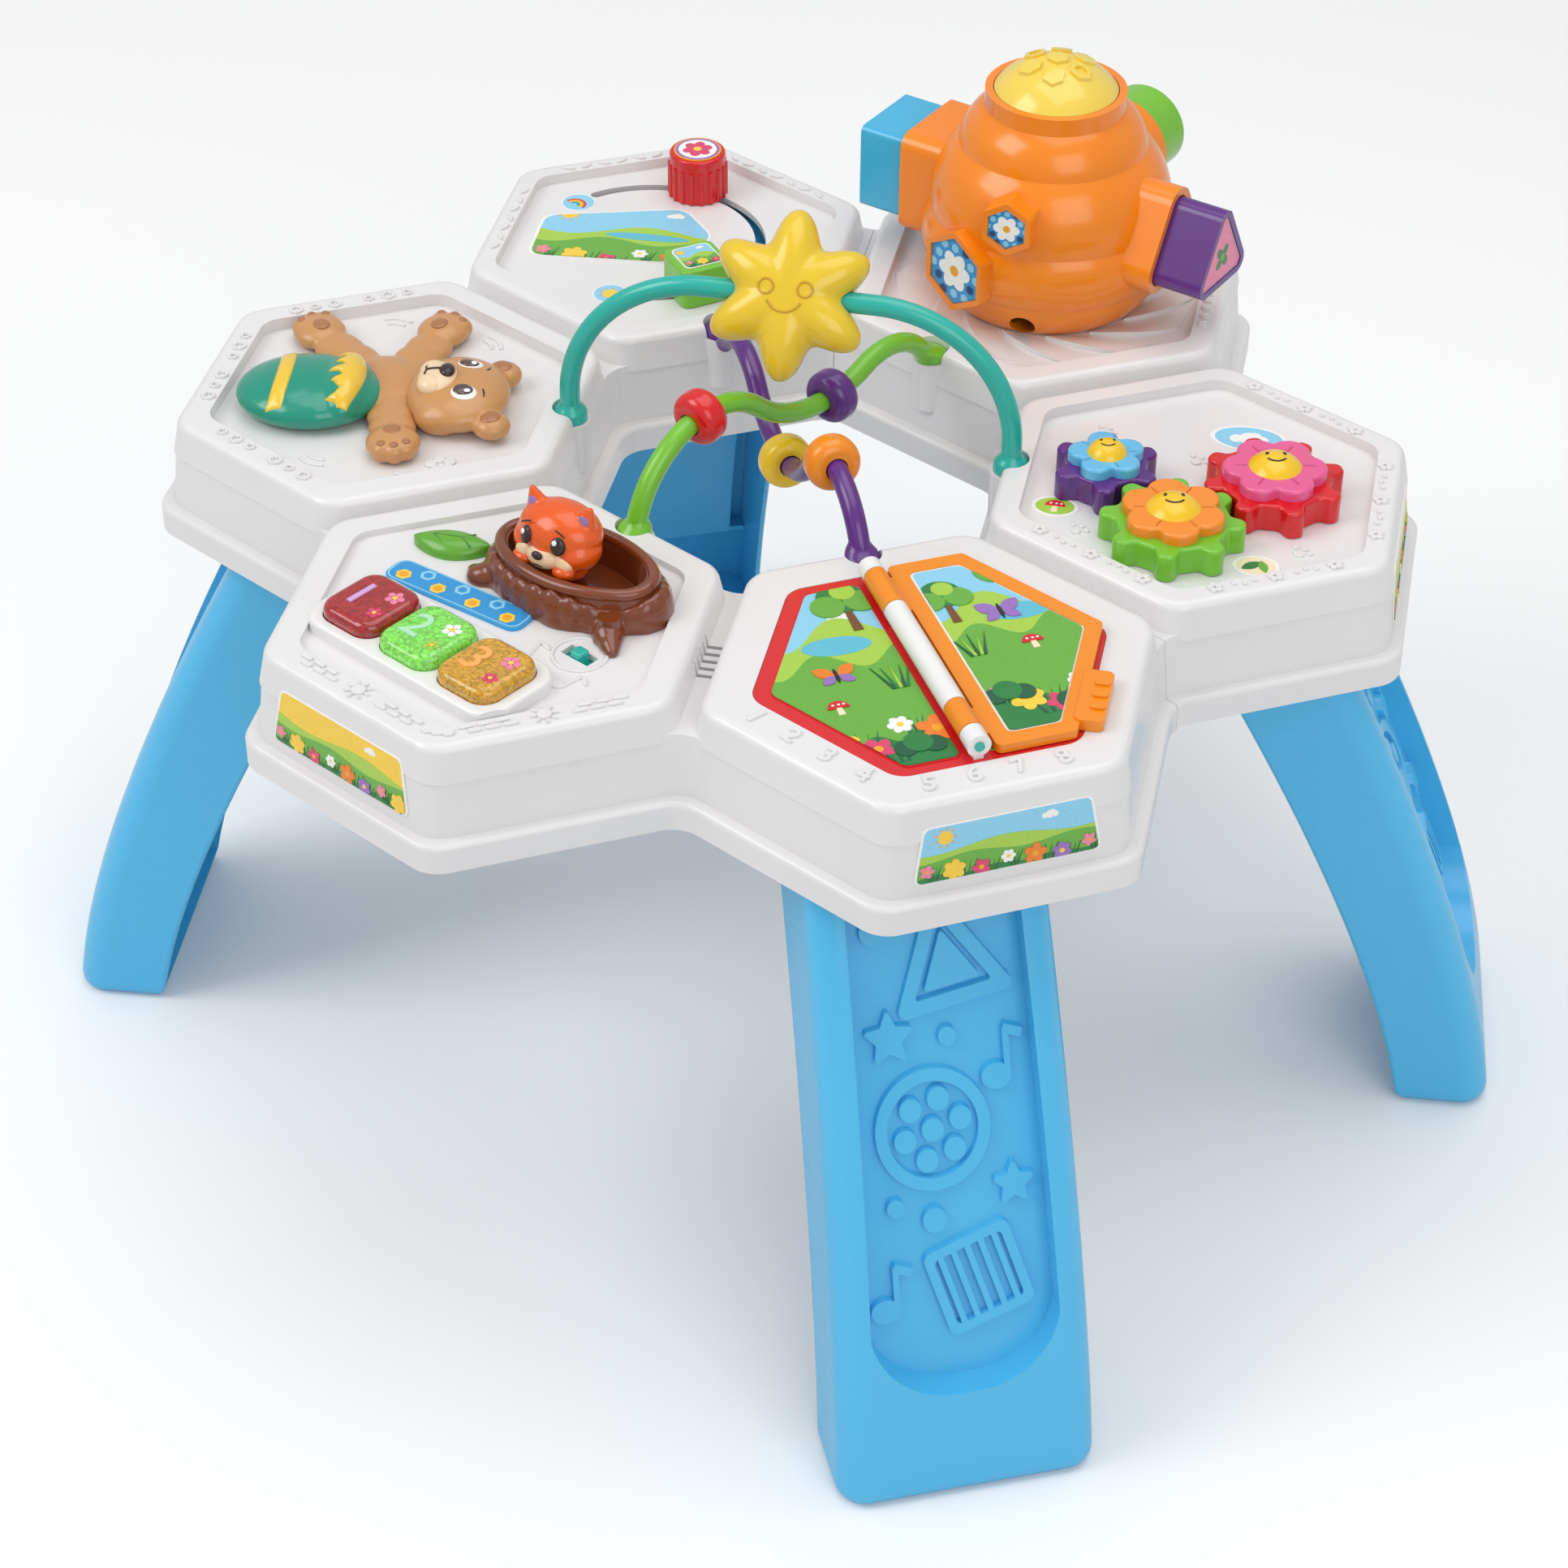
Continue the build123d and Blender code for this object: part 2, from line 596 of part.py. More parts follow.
door_d = box_wide + 2 * BOX_WALL
cover -= block(box_x, box_y, COVER_Z - 1, COVER_Z + COVER_T + 1, door_w + 2 * RUN, door_d + 2 * RUN, 0, 3.0)
for x, y in BOSS_AT:
    cover -= rod(x, y, COVER_Z - 1, COVER_Z + COVER_T + 1, SCREW_R + FIT)
save("bottom_cover", cover)
save("cover_screws", Compound(children=[screw(x, y, COVER_Z, COVER_T + SCREW_LEN - 1) for x, y in BOSS_AT]))

# Battery box, cells, door and its screw
box_z0 = COVER_Z + COVER_T
box_h = 2 * BATTERY_R + 6
box_top = box_z0 + box_h
battery_box = block(box_x, box_y, box_z0, box_top, door_w, door_d, 0, 3.0)
battery_box -= block(box_x, box_y, box_z0 - 1, box_top - BOX_WALL, box_len, box_wide)
battery_box += rod(box_x + box_len / 2 - 2.2, box_y, box_z0 + 1, box_top, 2.2 + SCREW_R) & block(
    box_x, box_y, box_z0, box_top, box_len + 1, box_wide)
for s in (-1, 1):
    battery_box += rod(box_x + s * door_w / 4, box_y, box_top - BOX_WALL / 2, fox_floor - WALL, 4.0)
battery_box -= rod(box_x + box_len / 2 - 2.2, box_y, box_z0, box_z0 + 9, SCREW_R + FIT)
save("battery_box", battery_box)
cells = []
for k in range(BATTERY_COUNT):
    y = box_y + (k - (BATTERY_COUNT - 1) / 2) * (2 * BATTERY_R + 0.6)
    cell = Pos(box_x - CELL_SHIFT, y, box_top - BOX_WALL - BATTERY_R) * Rot(0, 90, 0) * Cylinder(
        BATTERY_R, BATTERY_LEN - 2)
    nub = Pos(box_x - CELL_SHIFT + BATTERY_LEN / 2, y, box_top - BOX_WALL - BATTERY_R) * Rot(0, 90, 0) * Cylinder(
        2.6, 2.0)
    cells.append(cell + nub)
save("batteries", Compound(children=cells))
door = block(box_x, box_y, COVER_Z, COVER_Z + COVER_T - FIT, door_w, door_d, 0, 3.0)
for k in range(4):
    rib_x = box_x - door_w / 2 + 8 + 4 * k
    door -= block(rib_x, box_y, COVER_Z - 0.1, COVER_Z + 0.8, 1.6, door_d / 2)
door -= rod(box_x + box_len / 2 - 2.2, box_y, COVER_Z - 1, COVER_Z + COVER_T + 1, SCREW_R + FIT)
save("battery_door", door)
save("door_screw", screw(box_x + box_len / 2 - 2.2, box_y, COVER_Z, COVER_T + 6))

# Circuit board with chip, contact domes and lamps under the number buttons
bx, by = spot("fox", 0, BUTTON_Y)
board = block(bx, by, board_z, board_z + BOARD_T, BOARD_LEN, BOARD_WIDTH, 0, 2.0)
board += block(bx + BUTTON_PITCH / 2, by, board_z - 3, board_z, 14, 14)
board += block(bx - BUTTON_PITCH, by, board_z - 2, board_z, 10, 6)
save("circuit_board", board)
domes = []
leds = []
for x, y in BUTTON_XY:
    dome = rod(x, y - 6, board_z + BOARD_T, fox_floor - BUTTON_DOWN - BUTTON_TRAVEL - RUN, 6.0)
    domes.append(soften_top(dome, 2.0))
    lamp = rod(x, y + 9, board_z + BOARD_T, fox_floor - BUTTON_DOWN - BUTTON_TRAVEL - 1.5, 2.5)
    leds.append(soften_top(lamp, 1.2))
save("button_domes", Compound(children=domes))
save("button_leds", Compound(children=leds))

# Speaker under the slots
spx, spy = polar(TILE_PITCH * C30, 300)
speaker = rod(spx, spy, VALLEY_Z - WALL - 3.0, VALLEY_Z - WALL, SPEAKER_R)
speaker += Pos(spx, spy, VALLEY_Z - WALL - 3.0 - (SPEAKER_T - 7) / 2) * Cone(
    SPEAKER_R * 0.5, SPEAKER_R * 0.9, SPEAKER_T - 7)
speaker += rod(spx, spy, VALLEY_Z - WALL - SPEAKER_T, VALLEY_Z - WALL - SPEAKER_T + 5, SPEAKER_R * 0.5)
save("speaker", speaker)

# Number buttons and their bezel
bez_w = 3 * BUTTON_PITCH + 2 * BEZEL_EDGE
bez_d = BUTTON_D + 2 * BEZEL_EDGE
bezel = soften_top(block(bx, by, fox_floor, fox_floor + BEZEL_T, bez_w, bez_d, 0, 12.0), 2.0)
for k, (x, y) in enumerate(BUTTON_XY):
    bezel -= block(x, y, fox_floor - 1, fox_floor + BEZEL_T + 1, BUTTON_W + 2 * RUN, BUTTON_D + 2 * RUN, 0, 9.0)
tray_x, tray_y = centre("fox")
bezel = bezel & (Pos(tray_x, tray_y, fox_floor - 1) * extrude(
    hexagon(TRAY_HALF["fox"] - RUN, TRAY_CORNER), amount=BEZEL_T + 2))
save("button_bezel", bezel)
for k, (x, y) in enumerate(BUTTON_XY):
    cap = block(x, y, fox_floor - BUTTON_DOWN, fox_floor + BUTTON_UP, BUTTON_W, BUTTON_D, 0, 8.6)
    cap = soften_top(cap, 4.0)
    cap -= block(x, y, fox_floor - BUTTON_DOWN - 1, fox_floor + BUTTON_UP - 2.5, BUTTON_W - 5, BUTTON_D - 5,
                 0, 6.0)
    cap += rod(x, y - 6, fox_floor - BUTTON_DOWN, fox_floor + BUTTON_UP - 2.0, 3.0)
    save("button_" + str(k + 1), cap)

# Slide switch knob
knob = block(sw_x, sw_y, fox_floor - WALL - 3, fox_floor + 2.5, 6.0, 6.0, 0, 1.5)
knob += block(sw_x, sw_y, fox_floor - WALL - 3, fox_floor - WALL - RUN, 6.0 + SWITCH_TRAVEL + 8, 10.0)
save("switch_knob", soften_top(knob, 1.0))

# Hollow log, fox head, leaf and picture strip
lx, ly = spot("fox", LOG_X, LOG_Y)
log = loft([Pos(0, 0, 0) * Ellipse(LOG_LEN / 2, LOG_DEPTH / 2),
            Pos(0, 0, LOG_H) * Ellipse(LOG_LEN / 2 - 3, LOG_DEPTH / 2 - 2)], ruled=True)
log = soften_top(log, 2.5)
log += Pos(LOG_LEN / 2 - 11, -LOG_DEPTH / 2 + 5, 0) * Rot(0, 0, -35) * Cylinder(
    5.0, 10.0, align=(Align.CENTER, Align.CENTER, Align.MIN))
bowl = loft([Pos(0, 0, BOWL_FLOOR) * Ellipse(BOWL_LEN / 2 - 3, BOWL_DEPTH / 2 - 2),
             Pos(0, 0, LOG_H + 1) * Ellipse(BOWL_LEN / 2, BOWL_DEPTH / 2)], ruled=True)
log -= bowl
save("log_bowl", Pos(lx, ly, fox_floor) * Rot(0, 0, LOG_TURN) * log)
fox_back = -(BOWL_LEN - FOX_W) / 2 + 6.0
fox = loft([Pos(0, 0, BOWL_FLOOR + RUN) * Ellipse(FOX_W / 2 - 7, FOX_D / 2 - 5),
            Pos(0, 0, LOG_H - 2) * Ellipse(FOX_W / 2 - 3, FOX_D / 2 - 3),
            Pos(0, 0, LOG_H + 9) * Ellipse(FOX_W / 2, FOX_D / 2),
            Pos(0, 0, FOX_H * 0.78) * Ellipse(FOX_W / 2 - 3, FOX_D / 2 - 2.5),
            Pos(0, 0, FOX_H * 0.9) * Ellipse(FOX_W / 2 - 10, FOX_D / 2 - 8)])
for s in (-1, 1):
    ear = loft([Pos(s * FOX_W * 0.31, 0, FOX_H * 0.66) * Ellipse(6.5, 5.0),
                Pos(s * FOX_W * 0.40, 0, FOX_H + 2) * Ellipse(2.0, 1.6)], ruled=True)
    fox += ear
fox += Pos(0, -FOX_D / 2 + 1.0, LOG_H + 6) * Sphere(5.0)
save("fox_head", Pos(lx, ly, fox_floor) * Rot(0, 0, LOG_TURN) * Pos(fox_back, 0, 0) * fox)
leaf_x, leaf_y = spot("fox", -47, 22)
tip_a = (-17.0, 0.0)
tip_b = (17.0, 0.0)
leaf_face = make_face(ThreePointArc(tip_a, (0.0, 8.0), tip_b) + ThreePointArc(tip_b, (0.0, -8.0), tip_a))
leaf = Pos(leaf_x, leaf_y, fox_floor) * Rot(0, 0, 28) * extrude(leaf_face, amount=4.0)
leaf += Pos(leaf_x, leaf_y, fox_floor + 4.0) * Rot(0, 0, 28) * Box(26, 1.6, 1.6)
save("leaf", leaf)
strip_x, strip_y = spot("fox", -20, -1)
save("picture_strip", block(strip_x, strip_y, fox_floor, fox_floor + LABEL_T, 70, 15, LOG_TURN, 5.0))


# Gear train: rounded teeth on a wavy pitch line, three gears and their flower caps
def gear_face(pitch, teeth, phase):
    pts = []
    steps = teeth * 14
    for k in range(steps):
        a = 360.0 * k / steps
        wave = math.cos(math.radians(teeth * (a - phase)))
        bump = math.tanh(2.2 * (wave - 0.30)) / math.tanh(2.2)
        pts.append(polar(pitch - TOOTH_BACK + TOOTH_DEPTH * bump, a))
    return make_face(Spline(*pts, periodic=True))


def flower_face(radius, petals, phase):
    petal_r = radius * PETAL_SHARE
    face = Circle(radius * 0.62)
    for k in range(petals):
        x, y = polar(radius - petal_r, phase + 360 * k / petals)
        face += Pos(x, y) * Circle(petal_r)
    return fillet(face.vertices(), 1.2)


GEARS = {"green": (PITCH_BIG, TEETH_BIG, RED_BEARING),
         "red": (PITCH_BIG, TEETH_BIG, RED_BEARING + 180 + 180.0 / TEETH_BIG),
         "purple": (PITCH_SMALL, TEETH_SMALL, 0.0)}
toward = PURPLE_BEARING - RED_BEARING
green_phase = (toward / (360.0 / TEETH_BIG)) % 1.0
purple_phase = PURPLE_BEARING + 180 + (0.5 + green_phase) * 360.0 / TEETH_SMALL
GEARS["purple"] = (PITCH_SMALL, TEETH_SMALL, purple_phase)
gear_z = floor_z("gears") + FIGURE_GAP
axles = []
for colour, (pitch, teeth, phase) in GEARS.items():
    gx, gy = GEAR_AT[colour]
    gear = extrude(gear_face(pitch, teeth, phase), amount=GEAR_T)
    gear = fillet(gear.faces().sort_by(Axis.Z)[-1].edges(), 1.5)
    gear -= rod(0, 0, -1, GEAR_T + 1, AXLE_R + FIT)
    save("gear_" + colour, Pos(gx, gy, gear_z) * gear)
    petals = 6 if teeth == TEETH_BIG else 5
    flower = extrude(flower_face(pitch * FLOWER_RATIO, petals, phase), amount=FLOWER_T)
    flower = fillet(flower.faces().sort_by(Axis.Z)[-1].edges(), 1.5)
    cap_r = FLOWER_DOME_R * pitch / PITCH_BIG
    ball_r = (cap_r ** 2 + FLOWER_DOME_H ** 2) / (2 * FLOWER_DOME_H)
    ball = Pos(0, 0, FLOWER_T + FLOWER_DOME_H - ball_r) * Sphere(ball_r)
    flower += ball & rod(0, 0, FLOWER_T - 1, FLOWER_T + 2 * FLOWER_DOME_H, cap_r)
    save("flower_" + colour, Pos(gx, gy, gear_z + GEAR_T) * flower)
    axles.append(rod(gx, gy, floor_z("gears"), gear_z + AXLE_LEN, AXLE_R))
save("gear_axles", Compound(children=axles))

# Sliding knobs with stem and clip
slide_floor = floor_z("slider")


def knob_foot(x, y):
    stem = rod(x, y, slide_floor - WALL - RUN - CLIP_T, slide_floor + 2, SLOT_W / 2 - RUN)
    return stem + rod(x, y, slide_floor - WALL - RUN - CLIP_T, slide_floor - WALL - RUN, CLIP_R)


kx, ky = polar(SLOT_R, KNOB_RED_AT)
kx, ky = slot_x + kx, slot_y + ky
red = soften_top(rod(kx, ky, slide_floor + RUN, slide_floor + KNOB_H, KNOB_R - 1.0), 1.5)
for k in range(18):
    fx, fy = polar(KNOB_R - 1.2, 20 * k)
    red += rod(kx + fx, ky + fy, slide_floor + RUN, slide_floor + KNOB_H - 6.0, 1.2)
red += knob_foot(kx, ky)
save("knob_red", red)
qx, qy = polar(SLOT_R, KNOB_GREEN_AT)
qx, qy = slot_x + qx, slot_y + qy
green = block(qx, qy, slide_floor + RUN, slide_floor + KNOB_SQ_H, KNOB_SQ, KNOB_SQ, KNOB_GREEN_AT, 4.0)
green = soften_top(green, 1.5)
green += knob_foot(qx, qy)
save("knob_green", green)

# Bear figure: torso with limbs, head and honey pot on one pivot
bear_floor = floor_z("bear")
fig_z = bear_floor + FIGURE_GAP
ox, oy = centre("bear")


def pebble(x, y, turn, a, b, z0, h, top=0.72):
    low_cut = Pos(0, 0, 0) * Ellipse(a * 0.94, b * 0.94)
    mid_cut = Pos(0, 0, h * 0.45) * Ellipse(a, b)
    high_cut = Pos(0, 0, h * 0.85) * Ellipse(a * (1 + top) / 2, b * (1 + top) / 2)
    top_cut = Pos(0, 0, h) * Ellipse(a * top * 0.7, b * top * 0.7)
    stone = loft([low_cut, mid_cut], ruled=True) + loft([mid_cut, high_cut], ruled=True)
    stone += loft([high_cut, top_cut], ruled=True)
    return Pos(x, y, z0) * Rot(0, 0, turn) * stone


torso = rod(0, 0, fig_z, fig_z + FIGURE_T - 2, 16.0)
LIMBS = [(-58, 11, 160, 13.0, 9.5), (-17, 49, 100, 13.0, 8.5), (34, -31, -40, 12.0, 9.0)]
for x, y, turn, a, b in LIMBS:
    torso += pebble(x, y, turn, a, b, fig_z, FIGURE_T + 3)
    reach = math.hypot(x, y)
    arm = Rot(0, 0, math.degrees(math.atan2(y, x))) * Pos(reach / 2, 0, 0) * RectangleRounded(reach, 13, 6)
    torso += Pos(0, 0, fig_z) * extrude(arm, amount=FIGURE_T - 3)
bear_head = pebble(31, 12, 28, 27.0, 24.0, fig_z, 19.0)
for x, y in ((24, 40), (57, 10)):
    bear_head += pebble(x, y, 28, 8.5, 8.5, fig_z + 2, 11.0)
bear_head += pebble(24, 7, 28, 9.0, 11.0, fig_z + 8, 15.0)
pot = pebble(-21, -29, 38, 33.0, 27.0, fig_z, 19.0, 0.8)
pot += pebble(-6, -17, 38, 13.0, 24.0, fig_z + 3, 19.0, 0.8)
bear_head -= pot
torso -= bear_head
torso -= pot
clear_z = fig_z + FIGURE_T
pivot_hole = rod(0, 0, fig_z - 1, fig_z + 4 + RUN, PIVOT_R + FIT)
place = Pos(ox, oy, 0)
save("bear_body", place * (torso - pivot_hole))
save("bear_head", place * (bear_head - pivot_hole))
save("honey_pot", place * (pot - pivot_hole))
save("bear_pivot", place * rod(0, 0, bear_floor, fig_z + 4, PIVOT_R))

# Book: bed with pictures, spine with barrels, turning page on a pin
book_turn = TILE_ANGLE["book"]
book_x, book_y = centre("book")
BOOK = Pos(book_x, book_y, 0) * Rot(0, 0, book_turn)
book_floor = floor_z("book")
bed = Rot(0, 0, -book_turn) * hexagon(BED_HALF, TRAY_CORNER)
save("book_bed", BOOK * (Pos(0, 0, book_floor) * extrude(bed, amount=BED_T)))
bed_top = book_floor + BED_T
hinge_z = bed_top + HINGE_UP
spine_half = BED_HALF - 2.0
K1 = (-spine_half + 8.0, -spine_half + 32.0)
K2 = (spine_half - 26.0, spine_half - 9.0)


def barrel(u0, u1, r):
    return Pos((u0 + u1) / 2, HINGE_T, hinge_z) * Rot(0, 90, 0) * Cylinder(r, u1 - u0)


spine = Pos(0, HINGE_T, bed_top) * extrude(Rectangle(2 * spine_half, 4.0), amount=HINGE_UP)
for u0, u1 in (K1, K2):
    spine -= Pos((u0 + u1) / 2, HINGE_T, bed_top + 0.8) * extrude(
        Rectangle(u1 - u0 + 2 * KNUCKLE_GAP, 8.0), amount=4 * HINGE_UP)
spine += barrel(-spine_half, K1[0] - KNUCKLE_GAP, BARREL_R)
spine += barrel(K1[1] + KNUCKLE_GAP, K2[0] - KNUCKLE_GAP, BARREL_R)
spine += barrel(K2[1] + KNUCKLE_GAP, spine_half, BARREL_R)
spine -= barrel(-spine_half - 1, spine_half + 1, PIN_R + FIT)
save("book_spine", BOOK * spine)
pin = barrel(-spine_half - 1, spine_half + 1, PIN_R)
save("page_pin", BOOK * pin)
page_z = bed_top + 0.5


def page_outline(inset, t_edge):
    half = BED_HALF - 2.0 - inset
    tall = half / C30
    pts = [(-half, t_edge), (half, t_edge), (half, tall / 2), (0, tall), (-half, tall / 2)]
    face = make_face(Polyline(*pts, close=True))
    return fillet(face.vertices(), 3.0)


page = Pos(0, 0, page_z) * extrude(page_outline(0.0, HINGE_T + PAGE_EDGE), amount=PAGE_T)
window = page_outline(PAGE_FRAME, HINGE_T + PAGE_EDGE + PAGE_FRAME)
page -= Pos(0, 0, page_z + PAGE_T - CARD_T - 0.4) * extrude(window, amount=PAGE_T)
tab_u, tab_t = polar(BED_HALF + 3.0, 48)
tab = Pos(tab_u, tab_t, page_z) * Rot(0, 0, 60) * extrude(RectangleRounded(12.0, 34.0, 3.0), amount=PAGE_T + 1)
page += tab
for k in range(3):
    rib = Pos(tab_u, tab_t, page_z + PAGE_T) * Rot(0, 0, 60) * Pos(2.0, (k - 1) * 8.0, 0)
    page += rib * extrude(RectangleRounded(6.0, 3.0, 1.4), amount=2.0)
for u0, u1 in (K1, K2):
    page += barrel(u0, u1, BARREL_R)
    arm = Pos((u0 + u1) / 2, HINGE_T + PAGE_EDGE / 2 + 1.0, page_z + 1.0) * extrude(
        Rectangle(u1 - u0, PAGE_EDGE + 2.0), amount=PAGE_T - 1.0)
    page += arm
page -= barrel(-spine_half - 1, spine_half + 1, PIN_R + FIT)
save("page_frame", BOOK * page)
card = page_outline(PAGE_FRAME + FIT, HINGE_T + PAGE_EDGE + PAGE_FRAME + FIT)
save("page_card", BOOK * (Pos(0, 0, page_z + PAGE_T - CARD_T - 0.4) * extrude(card, amount=CARD_T)))

# Hive on its turntable
hive_x, hive_y = centre("hive")
hive_z = floor_z("hive") + HIVE_RISE
HIVE = Pos(hive_x, hive_y, hive_z)


def hive_profile(shrink):
    f = HIVE_FOOT_R - shrink
    r = HIVE_RING_R - shrink
    n = HIVE_NECK_R - shrink
    t = HIVE_TALL - shrink
    low_z = 0.17 * HIVE_TALL
    mid_z = 0.43 * HIVE_TALL
    top_z = 0.75 * HIVE_TALL
    line = Line((0, shrink), (f, shrink))
    line += ThreePointArc((f, shrink), (f + 6.5, 0.07 * HIVE_TALL), (r - 4.0, low_z))
    line += ThreePointArc((r - 4.0, low_z), (r, (low_z + mid_z) / 2), (r - 3.5, mid_z))
    line += ThreePointArc((r - 3.5, mid_z), (r - 5.5, 0.6 * HIVE_TALL), (n + 11.0, top_z))
    line += ThreePointArc((n + 11.0, top_z), (n + 7.0, 0.85 * HIVE_TALL), (n, 0.92 * HIVE_TALL))
    line += Line((n, 0.92 * HIVE_TALL), (n, t))
    line += Line((n, t), (0, t))
    line += Line((0, t), (0, shrink))
    return Plane.XZ * make_face(line)


hive_solid = revolve(hive_profile(0.0), Axis.Z)
hive_room = revolve(hive_profile(HIVE_WALL), Axis.Z)


def block_face(kind, gap):
    if kind == "square":
        return RectangleRounded(BLOCK_SIZE + 2 * gap, BLOCK_SIZE + 2 * gap, max(BLOCK_ROUND + gap, 0.5))
    if kind == "round":
        return Circle(BLOCK_SIZE / 2 + gap)
    pts = [polar(BLOCK_TRI + 2 * gap, 90 + 120 * k) for k in range(3)]
    face = make_face(Polyline(*pts, close=True))
    return fillet(face.vertices(), BLOCK_ROUND + 3.0 + gap)


def along(kind, angle, gap, d0, d1):
    x, y = polar(1.0, angle)
    sx, sy = polar(1.0, angle + 90)
    plane = Plane(origin=(x * d0, y * d0, SOCKET_Z), x_dir=(sx, sy, 0), z_dir=(x, y, 0))
    return extrude(plane * block_face(kind, gap), amount=d1 - d0)


SOCKETS = {"triangle": SOCKET_FROM, "round": SOCKET_FROM + 90, "square": SOCKET_FROM + 180}
hive = hive_solid - hive_room
for kind, a in SOCKETS.items():
    hive += along(kind, a, BLOCK_GAP + SOCKET_WALL, SOCKET_SEAT - SOCKET_WALL, SOCKET_LIP)
for kind, a in SOCKETS.items():
    hive -= along(kind, a, BLOCK_GAP, SOCKET_SEAT, SOCKET_LIP + 1)
hive -= rod(0, 0, HIVE_TALL - 2 * HIVE_WALL, HIVE_TALL + 1, DOME_R + RUN)
hive -= rod(0, 0, -1, HIVE_WALL + 1, TABLE_PIVOT_R + FIT)
door_x, door_y = polar(HIVE_FOOT_R, 296)
hive -= Pos(door_x, door_y, 7.0) * Rot(0, 0, 296) * Rot(0, 90, 0) * Cylinder(6.0, 24.0)
ledge_top = HIVE_TALL - DOME_SKIRT - DOME_TRAVEL - RUN
hive_ledge = rod(0, 0, ledge_top - 3.5, ledge_top, HIVE_RING_R) & hive_solid
hive_ledge -= rod(0, 0, 0, HIVE_TALL, DOME_R - 8)
hive += hive_ledge
save("hive_shell", HIVE * hive)
PLAQUES = [(264.0, 31.0, 20.0, 50.0), (289.0, 61.0, 13.0, 48.0)]
plaques = []
for a, z, size, d0 in PLAQUES:
    x, y = polar(1.0, a)
    sx, sy = polar(1.0, a + 90)
    plane = Plane(origin=(x * d0, y * d0, z), x_dir=(sx, sy, 0), z_dir=(x, y, 0))
    six = [polar(size, 60 * k + 30) for k in range(6)]
    plate = extrude(plane * fillet(make_face(Polyline(*six, close=True)).vertices(), 2.0),
                    amount=HIVE_RING_R + 3.0 - d0)
    dish = [polar(size - 3.0, 60 * k + 30) for k in range(6)]
    plate -= extrude(plane * make_face(Polyline(*dish, close=True)), amount=HIVE_RING_R + 10 - d0) - extrude(
        plane * make_face(Polyline(*dish, close=True)), amount=HIVE_RING_R + 1.5 - d0)
    plaques.append(plate - hive_solid)
save("hive_plaques", HIVE * Compound(children=plaques))
turntable = rod(0, 0, -HIVE_RISE, HIVE_WALL + 1, TABLE_PIVOT_R)
turntable += rod(0, 0, HIVE_WALL + RUN, HIVE_WALL + RUN + 2.5, TABLE_PIVOT_R + 5)
save("hive_pivot", HIVE * turntable)
dome_z = HIVE_TALL - DOME_SKIRT
ball_r = (DOME_R ** 2 + DOME_H ** 2) / (2 * DOME_H)
dome = Pos(0, 0, HIVE_TALL + DOME_H - ball_r) * Sphere(ball_r) & rod(
    0, 0, HIVE_TALL, HIVE_TALL + DOME_H + 1, DOME_R)
dome += rod(0, 0, dome_z, HIVE_TALL, DOME_R)
dome -= rod(0, 0, dome_z - 1, HIVE_TALL, DOME_R - 3)
for x, y, hole in [(0, 0, 0)] + [polar(13.0, 60 * k) + (k % 3 == 0,) for k in range(6)]:
    six = [(x + polar(5.2, 60 * j)[0], y + polar(5.2, 60 * j)[1]) for j in range(6)]
    cell = extrude(make_face(Polyline(*six, close=True)), amount=HIVE_TALL + DOME_H + 2)
    cap = Pos(0, 0, HIVE_TALL + DOME_H - ball_r) * Sphere(ball_r + 1.4)
    cell = cell & cap
    cell -= rod(x, y, 0, HIVE_TALL + 2.0, 12.0)
    if hole:
        cell -= rod(x, y, HIVE_TALL + DOME_H * 0.72, HIVE_TALL + DOME_H + 3, 2.8)
    dome += cell
save("hive_dome", HIVE * dome)
for kind, a in SOCKETS.items():
    piece = along(kind, a, 0.0, SOCKET_SEAT + BLOCK_GAP, BLOCK_REACH)
    inner = along(kind, a, -3.0, BLOCK_REACH - 1.2, BLOCK_REACH + 1)
    save("block_" + kind, HIVE * (piece - inner))



# Beads threaded on the wave wires
def bead(c, r, a, angle):
    dx, dz = polar(r, a)
    at = in_plane(c[0] + dx, c[1] + dz, angle)
    tx, tz = polar(1.0, a + 90)
    ux, uy = polar(tx, angle)
    plane = Plane(origin=at, z_dir=(ux, uy, tz))
    ring_solid = Cylinder(BEAD_R, BEAD_LEN)
    ring_solid = fillet(ring_solid.edges().filter_by(GeomType.CIRCLE), BEAD_ROUND)
    reach = math.degrees(BEAD_LEN / r)
    d0x, d0z = polar(r, a - reach)
    h0x, h0z = polar(1.0, a - reach + 90)
    hx, hy = polar(h0x, angle)
    bore = tube([arc_edge(c, r, a - reach, a + reach, angle)], WIRE_R + BEAD_BORE_GAP,
                in_plane(c[0] + d0x, c[1] + d0z, angle), (hx, hy, h0z))
    return plane.location * ring_solid - bore


BEAD_RED_AT = 96.0
BEAD_PURPLE_AT = -86.0
BEAD_YELLOW_AT = -84.0
BEAD_ORANGE_AT = 98.0
save("bead_red", bead(g1, GREEN_R1, BEAD_RED_AT, GREEN_ANGLE))
save("bead_purple", bead(gt, GREEN_RT, BEAD_PURPLE_AT, GREEN_ANGLE))
save("bead_yellow", bead(vt, VIOLET_RT, BEAD_YELLOW_AT, VIOLET_ANGLE))
save("bead_orange", bead(v2, VIOLET_R2, BEAD_ORANGE_AT, VIOLET_ANGLE))

